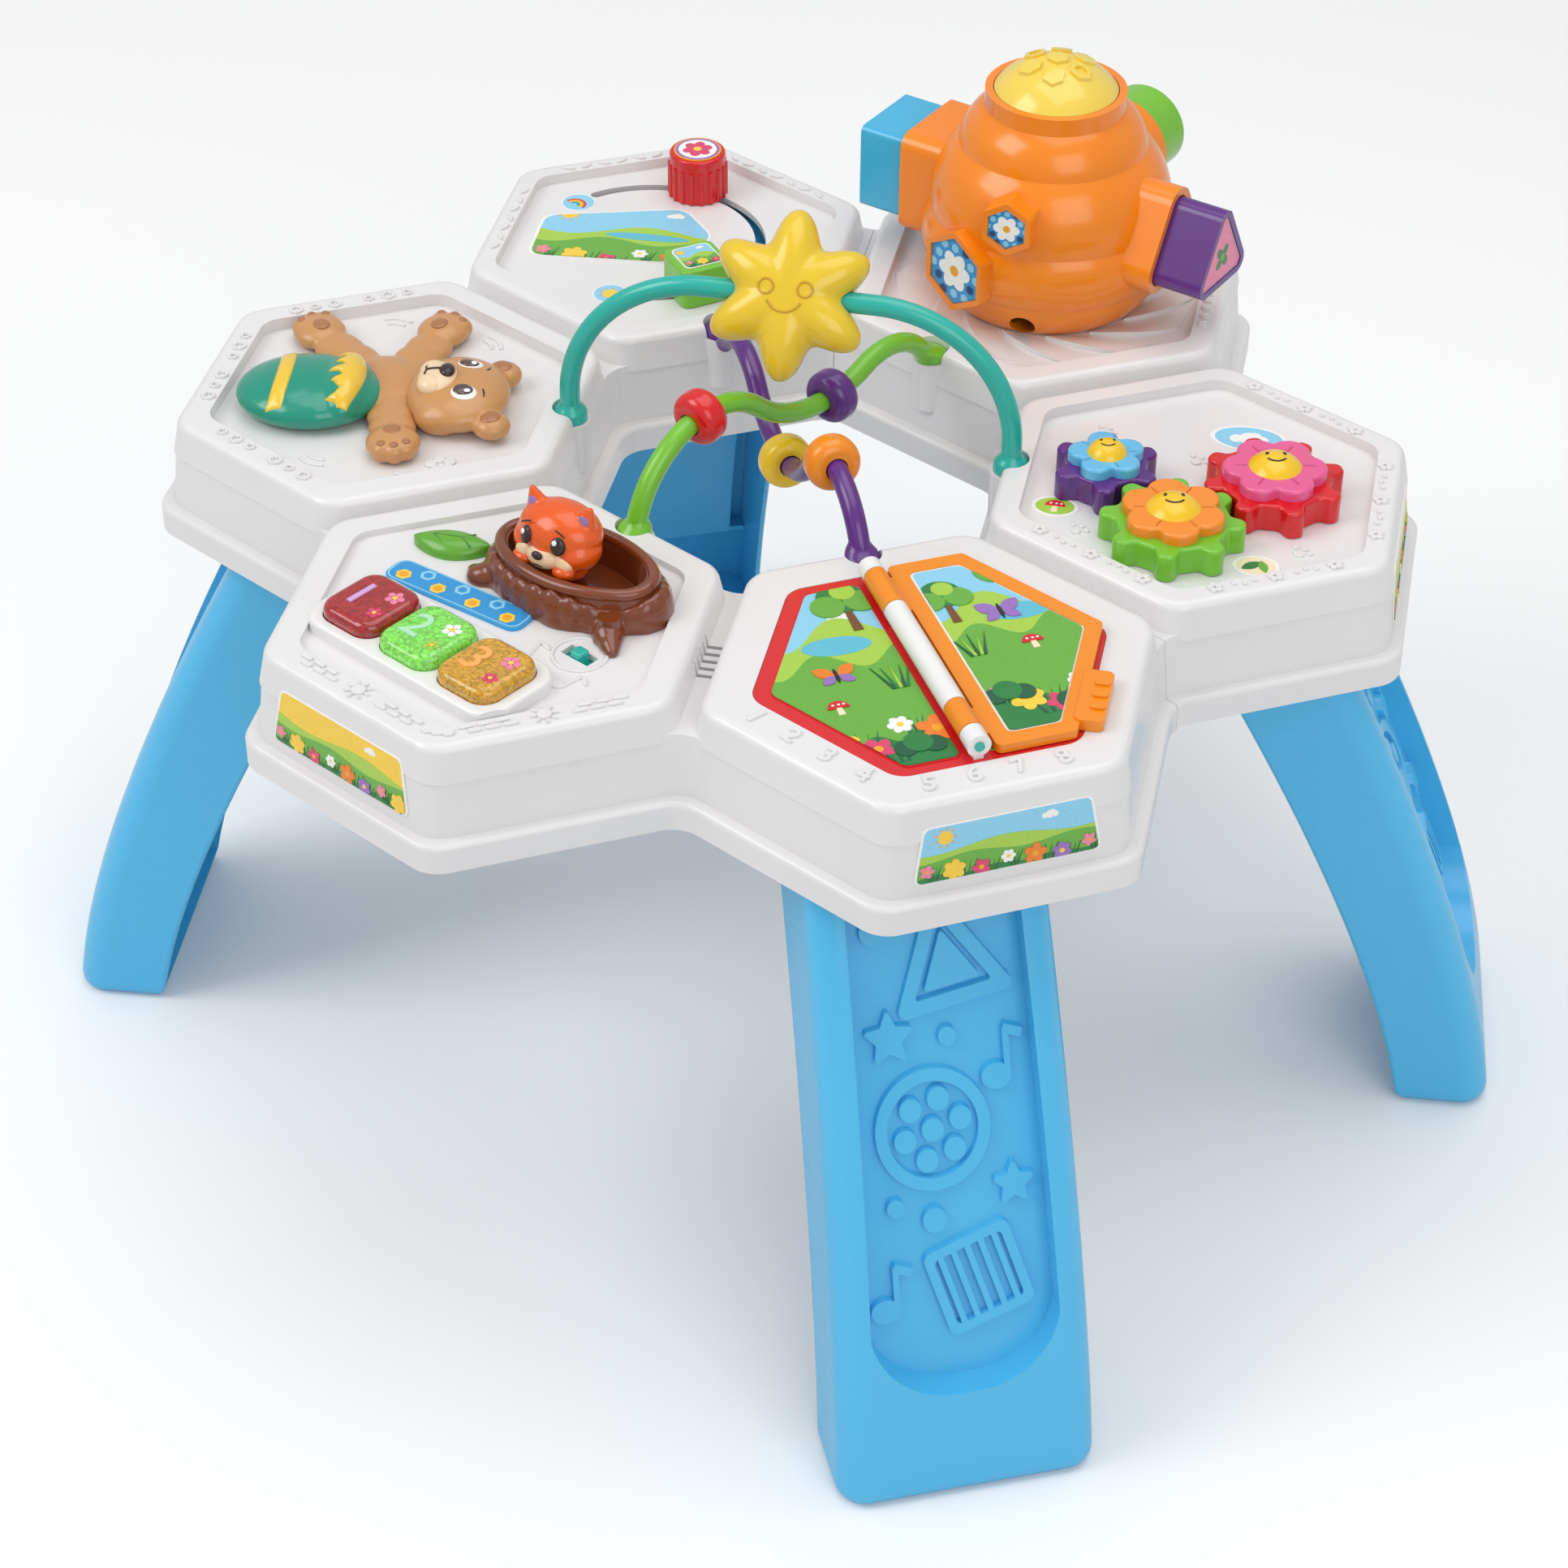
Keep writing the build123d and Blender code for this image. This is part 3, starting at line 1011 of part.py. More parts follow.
# Star on the straight top of the arch
star_levels = [(-STAR_HALF, 0.62), (-STAR_HALF * 0.62, 0.90), (0.0, 1.0),
               (STAR_HALF * 0.62, 0.90), (STAR_HALF, 0.62)]
star_cuts = [Pos(0, 0, h) * star_face(STAR_TIP * k, STAR_VALLEY * k, 6, 5.5 * k) for h, k in star_levels]
star = loft(star_cuts, ruled=True)
star -= Rot(0, 90, 0) * Cylinder(WIRE_R + BEAD_BORE_GAP, 4 * STAR_TIP)
nx, ny = polar(math.cos(math.radians(STAR_TILT)), TEAL_ANGLE - 90)
wx, wy = polar(1.0, TEAL_ANGLE)
star_plane = Plane(origin=(0, 0, ARCH_Z), x_dir=(wx, wy, 0), z_dir=(nx, ny, math.sin(math.radians(STAR_TILT))))
save("star", star_plane.location * star)

for label, c in (("green crest", g1), ("green trough", gt), ("purple trough", vt), ("purple crest", v2)):
    print(label, "arc centre", [round(v, 3) for v in c])
print("arch", round(ARCH_Z, 3), "hive", round(hive_z, 3), "hinge", round(hinge_z, 3), "slot", slot_x, slot_y)
print("gears", {k: [round(v, 3) for v in p] for k, p in GEAR_AT.items()})
print("green wire turns", round(ga1, 2), round(ga2, 2), "purple wire turns", round(va1, 2), round(va2, 2))
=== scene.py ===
import json
import math

import bmesh
import bpy
from bpy.props import FloatProperty, FloatVectorProperty, PointerProperty
from mathutils import Euler, Matrix, Vector


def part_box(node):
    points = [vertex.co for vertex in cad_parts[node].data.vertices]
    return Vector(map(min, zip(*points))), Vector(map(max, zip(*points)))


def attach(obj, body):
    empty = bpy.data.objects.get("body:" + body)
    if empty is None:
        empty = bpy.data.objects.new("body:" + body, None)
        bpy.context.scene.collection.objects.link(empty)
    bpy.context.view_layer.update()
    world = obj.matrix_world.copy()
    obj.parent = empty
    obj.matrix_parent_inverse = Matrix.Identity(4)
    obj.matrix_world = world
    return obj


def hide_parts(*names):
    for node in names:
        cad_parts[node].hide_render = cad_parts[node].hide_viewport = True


bl_info = {
    "name": "Activity Table Finish",
    "version": (1, 0, 0),
    "blender": (4, 5, 0),
    "location": "View3D > Sidebar > Activity Table",
    "description": "Dresses a child's activity table with plastics, labels, figures and a studio stage",
    "category": "Object",
}

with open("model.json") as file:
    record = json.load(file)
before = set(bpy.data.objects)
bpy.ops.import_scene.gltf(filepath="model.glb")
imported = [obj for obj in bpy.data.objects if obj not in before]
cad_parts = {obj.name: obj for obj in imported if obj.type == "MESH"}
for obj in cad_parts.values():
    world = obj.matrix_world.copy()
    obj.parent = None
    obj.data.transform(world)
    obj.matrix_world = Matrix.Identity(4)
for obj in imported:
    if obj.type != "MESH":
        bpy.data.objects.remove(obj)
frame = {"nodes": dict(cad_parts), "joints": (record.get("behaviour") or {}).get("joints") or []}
NODES = frame["nodes"]
JOINTS = {joint["name"]: joint for joint in frame["joints"]}
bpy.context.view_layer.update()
MM = 0.001
SIDES = (-1, 1)

# Where the trays lie, in millimetres and degrees, read together with the solids' own boxes
TILE_ANGLE = {"gears": 30, "hive": 90, "slider": 150, "bear": 210, "fox": 270, "book": 330}
TILE_PITCH = 180.0
RIM_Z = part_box("table_top_main")[1][2] / MM
FLOOR_DROP = {"gears": 5.0, "hive": 5.0, "slider": 5.0, "bear": 6.0, "fox": 3.0, "book": 2.5}
FLOOR_Z = {tile: RIM_Z - drop for tile, drop in FLOOR_DROP.items()}
RIM_LINE = {"gears": 76.6, "hive": 76.2, "slider": 77.0, "bear": 75.8, "fox": 75.6, "book": 73.6}
RIM_CORNER = 84.0
WALL_REACH, WALL_Z, WALL_LEAN = 87.25, 289.0, 5.57
HIVE_FOOT = FLOOR_Z["hive"] + 0.5
BLOCK_FACE = 88.8
FACE_TURN = 41


def tone(red, green, blue):
    """A screen colour, 0 to 255, as the linear colour a shader takes."""
    parts = [value / 255 for value in (red, green, blue)]
    return tuple(p / 12.92 if p <= 0.04045 else ((p + 0.055) / 1.055) ** 2.4 for p in parts)


def colour(name, words, *rgb):
    return FloatVectorProperty(name=name, description=words, subtype="COLOR", size=3, min=0, max=1,
                               default=tone(*rgb))


def length(name, words, value):
    return FloatProperty(name=name, description=words, subtype="DISTANCE", unit="LENGTH", min=0,
                         default=value * MM)


class TableColours(bpy.types.PropertyGroup):
    """Colours of the mouldings"""
    shell: colour("Shell", "Tray mouldings", 230, 228, 228)
    leg: colour("Legs", "Curved legs", 80, 190, 238)
    hive: colour("Hive", "Turning hive", 248, 138, 10)
    dome: colour("Dome", "Press dome on the hive", 243, 213, 84)
    star: colour("Star", "Spinning star", 234, 198, 36)
    teal: colour("Teal", "Arch wire and small teal pieces", 34, 178, 164)
    green: colour("Green", "Green wire, gear, knob and block", 118, 194, 46)
    purple: colour("Purple", "Purple wire, gear and block", 92, 36, 128)
    red: colour("Red", "Red gear, knob and bead", 218, 18, 24)
    yellow: colour("Yellow", "Yellow bead and flower centres", 245, 200, 22)
    orange: colour("Orange", "Orange bead and page frame", 244, 142, 14)
    cyan: colour("Cyan", "Square block", 62, 178, 222)
    bear: colour("Bear", "Rocking bear", 204, 148, 92)
    pot: colour("Pot", "Honey pot", 10, 148, 122)
    fox: colour("Fox", "Sliding fox", 236, 92, 12)
    log: colour("Log", "Hollow log", 124, 58, 26)


class TableSizes(bpy.types.PropertyGroup):
    """Sizes of what is laid on the mouldings"""
    label: length("Label", "Thickness of a printed label", 0.45)
    layer: length("Ink layer", "Step between printed shapes", 0.05)
    relief: length("Relief", "Height of a raised motif", 1.1)
    soft: length("Soft edge", "Rounding of a raised motif", 0.45)


def colours():
    return bpy.context.scene.table_colours


def sizes():
    return bpy.context.scene.table_sizes


# Shader nodes and node groups
def feed(tree, node, given):
    """Fill a node's sockets: another node's output is linked, any other value is set."""
    for key, value in given.items():
        if isinstance(value, bpy.types.NodeSocket):
            tree.links.new(value, node.inputs[key])
        else:
            node.inputs[key].default_value = value


def put(tree, kind, given, out=0, **options):
    """One output of a new node with its sockets filled."""
    node = tree.nodes.new("ShaderNode" + kind)
    for key, value in options.items():
        setattr(node, key, value)
    feed(tree, node, given)
    return node.outputs[out]


def new_group(name, outputs, **numbers):
    """A group that takes a colour and numbers: its tree, what comes in, its end and the coordinates."""
    tree = bpy.data.node_groups.new(name, "ShaderNodeTree")
    rows = [("Colour", "INPUT", (0.8, 0.8, 0.8, 1))]
    rows += [(key, "INPUT", value) for key, value in numbers.items()]
    for key, way, value in rows + [(key, "OUTPUT", None) for key in outputs]:
        kind = "NodeSocketColor" if key == "Colour" else "NodeSocketFloat"
        socket = tree.interface.new_socket(name=key, in_out=way, socket_type=kind)
        if value is not None:
            socket.default_value = value
    start, end = tree.nodes.new("NodeGroupInput"), tree.nodes.new("NodeGroupOutput")
    return tree, start.outputs, end, put(tree, "TexCoord", {}, "Object")


def noise(tree, at, scale, detail=2.0, rough=0.5):
    given = {"Vector": at, "Scale": scale, "Detail": detail, "Roughness": rough}
    return put(tree, "TexNoise", given, "Fac")


def span(tree, value, low, high, out_low, out_high):
    given = {"Value": value, "From Min": low, "From Max": high, "To Min": out_low, "To Max": out_high}
    return put(tree, "MapRange", given, "Result")


def shade(tree, base, factor, low, high, start=0.3, end=0.7):
    """The base colour made darker or lighter over the surface."""
    value = span(tree, factor, start, end, low, high)
    return put(tree, "HueSaturation", {"Color": base, "Value": value}, "Color")


def moulded_skin():
    """Moulded plastic: faint cloudiness, uneven gloss and a fine orange-peel skin."""
    outputs = ("Colour", "Roughness", "Height")
    tree, given, end, at = new_group("Moulded skin", outputs, Gloss=0.35, Peel=420.0)
    uneven = span(tree, noise(tree, at, 60.0), 0.3, 0.7, -0.025, 0.025)
    feed(tree, end, {"Colour": shade(tree, given["Colour"], noise(tree, at, 14.0, 3.0), 0.985, 1.01),
                     "Roughness": put(tree, "Math", {0: given["Gloss"], 1: uneven}, operation="ADD"),
                     "Height": noise(tree, at, given["Peel"], 1.0)})
    return tree


def print_grain():
    """Printed label: fine ink grain and a slightly uneven gloss."""
    tree, given, end, at = new_group("Print grain", ("Colour", "Roughness"))
    feed(tree, end, {"Colour": shade(tree, given["Colour"], noise(tree, at, 900.0, 3.0, 0.7), 0.93, 1.05),
                     "Roughness": span(tree, noise(tree, at, 120.0), 0.3, 0.7, 0.26, 0.38)})
    return tree


def glitter():
    """Clear plastic over glitter: small bright facets in a deep colour."""
    tree, given, end, at = new_group("Glitter", ("Colour", "Height"), Flake=900.0)
    cells = put(tree, "TexVoronoi", {"Vector": at, "Scale": given["Flake"]}, "Color")
    facet = put(tree, "SeparateColor", {"Color": cells}).node.outputs
    feed(tree, end, {"Colour": shade(tree, given["Colour"], facet["Red"], 0.72, 1.4, 0.0, 1.0),
                     "Height": facet["Green"]})
    return tree


def bark():
    """Moulded bark: long soft furrows, with painted shade in their hollows."""
    tree, given, end, at = new_group("Bark", ("Colour", "Height"))
    grain = noise(tree, put(tree, "Mapping", {"Vector": at, "Scale": (40.0, 110.0, 90.0)}), 1.0, 4.0, 0.6)
    # The colour follows the furrows' height: the hollows get painted shade, the crests are lighter.
    feed(tree, end, {"Colour": shade(tree, given["Colour"], grain, 0.86, 1.1), "Height": grain})
    return tree


def brushed():
    """Plain steel with fine turning marks."""
    tree, given, end, at = new_group("Brushed", ("Colour", "Roughness"))
    marks = noise(tree, put(tree, "Mapping", {"Vector": at, "Scale": (3000.0, 300.0, 300.0)}), 1.0)
    feed(tree, end, {"Colour": shade(tree, given["Colour"], marks, 0.85, 1.1),
                     "Roughness": span(tree, marks, 0.3, 0.7, 0.25, 0.5)})
    return tree


# Materials, each made once and kept by its name
GROUPS = {}
MADE = {}
INKS = {
    "paper": (246, 246, 243), "sky": (142, 209, 238), "blue": (44, 150, 214), "navy": (22, 62, 120),
    "lime": (168, 208, 74), "grass": (106, 176, 62), "leaf": (38, 128, 62), "forest": (18, 92, 58),
    "sun": (250, 208, 62), "honey": (242, 168, 26), "orange": (240, 128, 34), "pink": (240, 134, 168),
    "rose": (222, 66, 112), "red": (216, 30, 38), "lilac": (154, 112, 190), "brown": (120, 72, 38),
    "dark": (34, 30, 32), "cream": (250, 232, 196), "water": (96, 190, 214)}


def material(name, maker, base, look, bump=None, **numbers):
    """An effect's group and a Principled shader. In the look, a name stands for the group's output."""
    if name in MADE:
        return MADE[name]
    if maker not in GROUPS:
        GROUPS[maker] = maker()
    mat = MADE[name] = bpy.data.materials.new(name)
    mat.use_nodes = True
    mat.diffuse_color = (*base, 1)
    tree = mat.node_tree
    skin = tree.nodes.new("ShaderNodeGroup")
    skin.node_tree = GROUPS[maker]
    feed(tree, skin, {"Colour": (*base, 1), **numbers})
    look = {key: skin.outputs[value] if isinstance(value, str) else value
            for key, value in {"Base Color": "Colour", **look}.items()}
    if bump:
        distance, strength = bump
        look["Normal"] = put(tree, "Bump", {"Height": skin.outputs["Height"], "Distance": distance,
                                            "Strength": strength})
    feed(tree, tree.nodes["Principled BSDF"], look)
    return mat


def plastic(name, base, gloss=0.32, coat=0.25, peel=420.0, bump=0.12, glow=0.0):
    look = {"Roughness": "Roughness", "Coat Weight": coat, "Coat Roughness": 0.12,
            "Subsurface Weight": glow, "Subsurface Radius": (0.004, 0.003, 0.002)}
    return material(name, moulded_skin, base, look, (0.0003, bump), Gloss=gloss, Peel=peel)


def ink(name):
    look = {"Roughness": "Roughness", "Coat Weight": 0.2}
    return material("ink_" + name, print_grain, tone(*INKS[name]), look)


def shell_plastic():
    return plastic("shell_plastic", colours().shell, 0.3, 0.2, 900.0, 0.03)


def face_ink():
    return plastic("face_ink", tone(44, 30, 26), 0.3, 0.3, 420.0, 0.03)


def eye_white():
    return plastic("eye_white", tone(250, 250, 250), 0.15, 0.5)


def dress(nodes, mat):
    """Give each of the named nodes one material."""
    for node in nodes.split():
        data = NODES[node].data
        data.materials.clear()
        data.materials.append(mat)


# Flat places on the object, in millimetres
class Place:
    """A flat place: a point, a direction to the right, one up and the way out of it."""

    def __init__(self, origin, right, up):
        self.origin = Vector(origin)
        self.right = Vector(right).normalized()
        self.up = Vector(up).normalized()
        self.out = self.right.cross(self.up)

    def at(self, x, y, h=0.0):
        return (self.origin + self.right * x + self.up * y + self.out * h) * MM

    def matrix(self, x=0.0, y=0.0, h=0.0):
        rows = Matrix((self.right, self.up, self.out)).transposed().to_4x4()
        rows.translation = self.at(x, y, h)
        return rows


def polar(radius, angle):
    return radius * math.cos(math.radians(angle)), radius * math.sin(math.radians(angle))


def tile_centre(tile):
    return polar(TILE_PITCH, TILE_ANGLE[tile])


def top_of(node):
    """The middle of a node's top, in millimetres."""
    low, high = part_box(node)
    return (low[0] + high[0]) / 2 / MM, (low[1] + high[1]) / 2 / MM, high[2] / MM


def level_place(x, y, z, turn=0.0):
    return Place((x, y, z), (*polar(1, turn), 0), (*polar(1, turn + 90), 0))


def tray(tile, x=0.0, y=0.0, turn=0.0, z=None):
    cx, cy = tile_centre(tile)
    return level_place(cx + x, cy + y, FLOOR_Z[tile] if z is None else z, turn)


def facing(tile, angle, far, z, lean=0.0):
    """A place that looks away from a tray's middle: upright, or leaning back by an angle."""
    cx, cy = tile_centre(tile)
    nx, ny = polar(1, angle)
    rise, back = polar(1, lean)
    return Place((cx + nx * far, cy + ny * far, z), (-ny, nx, 0), (-nx * back, -ny * back, rise))


def rim(tile, angle, far=None):
    return facing(tile, angle, far or RIM_LINE[tile], RIM_Z, 90)


# Flat shapes, as points in millimetres
def turned(pts, x, y, turn):
    """Points turned about the origin, then moved."""
    c, s = math.cos(math.radians(turn)), math.sin(math.radians(turn))
    return [(x + px * c - py * s, y + px * s + py * c) for px, py in pts]


def sweep(x, y, radius, start, end, count):
    """Points of an arc."""
    spots = [polar(radius, start + (end - start) * k / count) for k in range(count + 1)]
    return [(x + px, y + py) for px, py in spots]


def ring(x, y, rx, ry=None, turn=0.0, count=28):
    ry = rx if ry is None else ry
    spots = [polar(1, 360 * k / count) for k in range(count)]
    return turned([(px * rx, py * ry) for px, py in spots], x, y, turn)


def hexagon(x, y, size, turn=0.0):
    return sweep(x, y, size, turn, turn + 300, 5)


def oblong(x, y, wide, tall, round_by, turn=0.0):
    pts = []
    for sx, sy, start in ((1, 1, 0), (-1, 1, 90), (-1, -1, 180), (1, -1, 270)):
        pts += sweep(sx * (wide / 2 - round_by), sy * (tall / 2 - round_by), round_by, start, start + 90, 6)
    return turned(pts, x, y, turn)


def lens(x, y, long, wide, turn=0.0):
    half = [(long * (k / 12 - 0.5), wide / 2 * math.sin(math.pi * k / 12) ** 0.8) for k in range(13)]
    return turned(half + [(px, -py) for px, py in half[-2:0:-1]], x, y, turn)


def band(x, y, inner, outer, start, end, count=18):
    """Part of a flat ring between two angles."""
    return sweep(x, y, outer, start, end, count) + sweep(x, y, inner, end, start, count)


def post(x, y, foot, head, tall):
    """An upright shape by half its width at the foot and at the head."""
    return [(x - foot, y), (x + foot, y), (x + head, y + tall), (x - head, y + tall)]


def softened(corners, round_by, steps=5):
    """An outline with its corners rounded."""
    pts = []
    count = len(corners)
    for k in range(count):
        here = Vector(corners[k])
        before = (Vector(corners[k - 1]) - here).normalized()
        after = (Vector(corners[(k + 1) % count]) - here).normalized()
        for j in range(steps + 1):
            t = j / steps
            spot = here + before * round_by * (1 - t) ** 2 + after * round_by * t ** 2
            pts.append((spot.x, spot.y))
    return pts


def clipped(pts, outline):
    """The part of a shape inside a convex outline that runs anticlockwise."""
    kept = list(pts)
    for k in range(len(outline)):
        (ax, ay), (bx, by) = outline[k], outline[(k + 1) % len(outline)]
        fresh = []
        for j in range(len(kept)):
            p, q = kept[j - 1], kept[j]
            side_p = (bx - ax) * (p[1] - ay) - (by - ay) * (p[0] - ax)
            side_q = (bx - ax) * (q[1] - ay) - (by - ay) * (q[0] - ax)
            if side_p * side_q < 0:
                t = side_p / (side_p - side_q)
                fresh.append((p[0] + t * (q[0] - p[0]), p[1] + t * (q[1] - p[1])))
            if side_q >= 0:
                fresh.append(q)
        kept = fresh
    return kept if len(kept) > 2 else []


# Printed motifs: lists of a shape, its ink and its layer
def blossom(x, y, size, petal, eye, level, petals=5, turn=18.0):
    art = []
    for k in range(petals):
        way = turn + 360 * k / petals
        px, py = polar(size * 0.58, way)
        art.append((ring(x + px, y + py, size * 0.44, size * 0.36, way, 14), petal, level))
    return art + [(ring(x, y, size * 0.28, count=12), eye, level + 1)]


def tuft(x, y, tall, inks, level):
    art = []
    for k in range(5):
        foot = x + (k - 2) * tall * 0.09
        tip = (foot + (k - 2) * tall * 0.16, y + tall * (1 - 0.08 * (k % 2)))
        art.append(([(foot - tall * 0.05, y), (foot + tall * 0.05, y), tip], inks[k % len(inks)], level))
    return art


def hills(wide, tall, base, swing, waves, shift, paint, level):
    pts = [(-wide / 2, -tall / 2), (wide / 2, -tall / 2)]
    for k in range(31):
        x = wide / 2 - wide * k / 30
        pts.append((x, base + swing * math.sin(waves * math.tau * x / wide + shift)))
    return [(pts, paint, level)]


def sunshine(x, y, size, level):
    ray = [(size * 1.15, -size * 0.18), (size * 1.15, size * 0.18), (size * 1.7, 0)]
    art = [(turned(ray, x, y, 40 * k), "honey", level) for k in range(9)]
    return art + [(ring(x, y, size), "sun", level)]


def puff(x, y, size, level):
    return [(ring(x + dx * size, y + dy * size, r * size, count=16), "paper", level)
            for dx, dy, r in ((0, 0, 0.6), (-0.7, -0.12, 0.42), (0.7, -0.1, 0.45), (0.3, 0.25, 0.42))]


def toadstool(x, y, size, level):
    art = [(post(x, y, size * 0.16, size * 0.12, size * 0.6), "cream", level),
           (band(x, y + size * 0.5, 0.05, size * 0.5, 0, 180), "red", level + 1)]
    return art + [(ring(x + dx * size, y + size * 0.72, size * 0.07, count=8), "paper", level + 2)
                  for dx in (-0.22, 0.05, 0.28)]


def round_tree(x, y, size, level):
    crowns = ((0, 0.78, 0.34, "leaf", 1), (-0.24, 0.62, 0.24, "grass", 2), (0.24, 0.64, 0.24, "grass", 2),
              (0.06, 0.9, 0.18, "lime", 2))
    return [(post(x, y, size * 0.07, size * 0.04, size * 0.6), "brown", level)] + [
        (ring(x + dx * size, y + dy * size, r * size, count=20), paint, level + over)
        for dx, dy, r, paint, over in crowns]


def bush(x, y, size, level):
    crowns = ((-0.5, 0, 0.4, "forest"), (0.5, 0, 0.42, "forest"), (0, 0.2, 0.5, "leaf"))
    return [(ring(x + dx * size, y + dy * size, r * size, count=18), paint, level + n)
            for n, (dx, dy, r, paint) in enumerate(crowns)]


def flutter(x, y, size, paint, level):
    """A plain butterfly of four wings."""
    art = []
    for side in SIDES:
        upper = lens(x + side * size * 0.42, y + size * 0.26, size * 0.9, size * 0.55, side * 40)
        lower = lens(x + side * size * 0.34, y - size * 0.22, size * 0.66, size * 0.42, -side * 40)
        art += [(upper, paint, level), (lower, "lilac", level)]
    return art + [(lens(x, y, size * 0.9, size * 0.16, 90), "dark", level + 1)]


def meadow(wide, tall, sky="sky", shift=0.0, blooms=6, scale=1.0, with_sun=True, with_pond=False, rise=0.0):
    """A plain meadow: sky, three rows of hills, flowers and grass in rows of their own."""
    small, ground = min(wide, tall), rise * tall
    art = [(post(0, -tall / 2, wide / 2, wide / 2, tall), sky, 0)]
    if with_sun:
        art += sunshine(-wide * 0.33, tall * 0.28, small * 0.10 * scale, 1)
    art += puff(wide * 0.22, tall * 0.33, small * 0.10 * scale, 1)
    art += hills(wide, tall, tall * 0.06 + ground, tall * 0.07, 1.3, shift, "lime", 2)
    art += hills(wide, tall, -tall * 0.10 + ground, tall * 0.05, 1.8, shift + 2.0, "grass", 3)
    if with_pond:
        art.append((ring(wide * 0.10, -tall * 0.02 + ground, wide * 0.22, tall * 0.05, -4.0), "water", 4))
    art += hills(wide, tall, -tall * 0.40 + ground * 0.3, tall * 0.025, 3.2, shift + 1.0, "leaf", 5)
    paints = ("pink", "sun", "rose", "paper", "orange", "lilac")
    for k in range(blooms):
        x, y = -wide / 2 + wide * (k + 0.5) / blooms, -tall * (0.28 + 0.10 * ((k * 7) % 3) / 2)
        size = small * (0.10 + 0.03 * ((k * 5) % 3)) * scale
        art += tuft(x + size * 0.9, y - size * 1.5, size * 2.2, ("forest", "leaf"), 6)
        art += blossom(x, y, size, paints[k % len(paints)], "sun" if k % 2 else "honey", 7, 5 + k % 2, 20 * k)
    return art


def shifted(art, dx):
    return [([(x + dx, y) for x, y in pts], paint, level) for pts, paint, level in art]


# Making and placing pieces: how deep they sink into what carries them and the steps that keep their tops
# apart, in millimetres
LABEL_SINK, INK_SINK, RELIEF_SINK, HONEY_SINK = 0.2, 0.05, 0.4, 1.2
INK_STEP, TOP_STEP = 0.04, 0.04
LINE_LIFT = 0.05
DIGIT_BEVEL = 0.22


def mesh_of(name, bm):
    mesh = bpy.data.meshes.new(name)
    bm.to_mesh(mesh)
    bm.free()
    return mesh


def linked(name, data):
    thing = bpy.data.objects.new(name, data)
    bpy.context.scene.collection.objects.link(thing)
    return thing


def new_piece(name, bm, body, materials, smooth):
    bmesh.ops.recalc_face_normals(bm, faces=bm.faces)
    return mesh_piece(name, mesh_of(name, bm), body, materials, smooth)


def mesh_piece(name, mesh, body, materials, smooth):
    piece = linked(name, mesh)
    for mat in materials:
        mesh.materials.append(mat)
    for face in mesh.polygons:
        face.use_smooth = True
    mesh.set_sharp_from_angle(angle=math.radians(smooth))
    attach(piece, body)
    return piece


def evaluated(thing):
    """The mesh that an object's modifiers or curve make."""
    bpy.context.view_layer.update()
    return bpy.data.meshes.new_from_object(thing.evaluated_get(bpy.context.evaluated_depsgraph_get()))


def curve_mesh(curve):
    """A curve made into a mesh."""
    holder = linked(curve.name + "_line", curve)
    mesh = evaluated(holder)
    bpy.data.objects.remove(holder)
    bpy.data.curves.remove(curve)
    return mesh


def settled(piece):
    """The piece with its modifiers made into mesh."""
    done, old = evaluated(piece), piece.data
    piece.modifiers.clear()
    piece.data = done
    bpy.data.meshes.remove(old)
    for face in done.polygons:
        face.use_smooth = True


def slab(bm, place, pts, low, high, paint=0):
    """A flat shape with thickness."""
    if len(pts) < 3:
        return
    under = [bm.verts.new(place.at(x, y, low)) for x, y in pts]
    over = [bm.verts.new(place.at(x, y, high)) for x, y in pts]
    faces = [bm.faces.new(over), bm.faces.new(under[::-1])]
    for k in range(len(pts)):
        j = (k + 1) % len(pts)
        faces.append(bm.faces.new((under[k], under[j], over[j], over[k])))
    for face in faces:
        face.material_index = paint


def loft(bm, rows, tips=(None, None), capped=True):
    """A skin through rows of points, each end closed by a face or by a fan round a tip."""
    rows = [[bm.verts.new(point) for point in row] for row in rows]
    steps = [(k, (k + 1) % len(rows[0])) for k in range(len(rows[0]))]
    for one, two in zip(rows, rows[1:]):
        for k, n in steps:
            bm.faces.new((one[k], one[n], two[n], two[k]))
    for row, tip in zip((rows[0], rows[-1]), tips):
        if tip is not None:
            peak = bm.verts.new(tip)
            for k, n in steps:
                bm.faces.new((row[k], row[n], peak))
        elif capped:
            bm.faces.new(row)
    return rows


def label(name, body, place, outline, art, slot, edge="paper", margin=1.0, thin=1.0):
    """A printed label: a paper base with printed shapes laid on it in thin layers."""
    thick, step = sizes().label / MM * thin, sizes().layer / MM * thin
    paints = [edge]
    bm = bmesh.new()
    slab(bm, place, outline, -LABEL_SINK, thick)
    cx = sum(x for x, _ in outline) / len(outline)
    cy = sum(y for _, y in outline) / len(outline)
    shrink = 1 - margin / min(math.hypot(x - cx, y - cy) for x, y in outline)
    inside = [(cx + (x - cx) * shrink, cy + (y - cy) * shrink) for x, y in outline]
    for order, (pts, paint, level) in enumerate(art):
        if paint not in paints:
            paints.append(paint)
        high = thick + step * (level + 1 + INK_STEP * order)
        slab(bm, place, clipped(pts, inside), thick - INK_SINK * thin, high, paints.index(paint))
    new_piece(name, bm, body, [ink(p) for p in paints], 20.0)


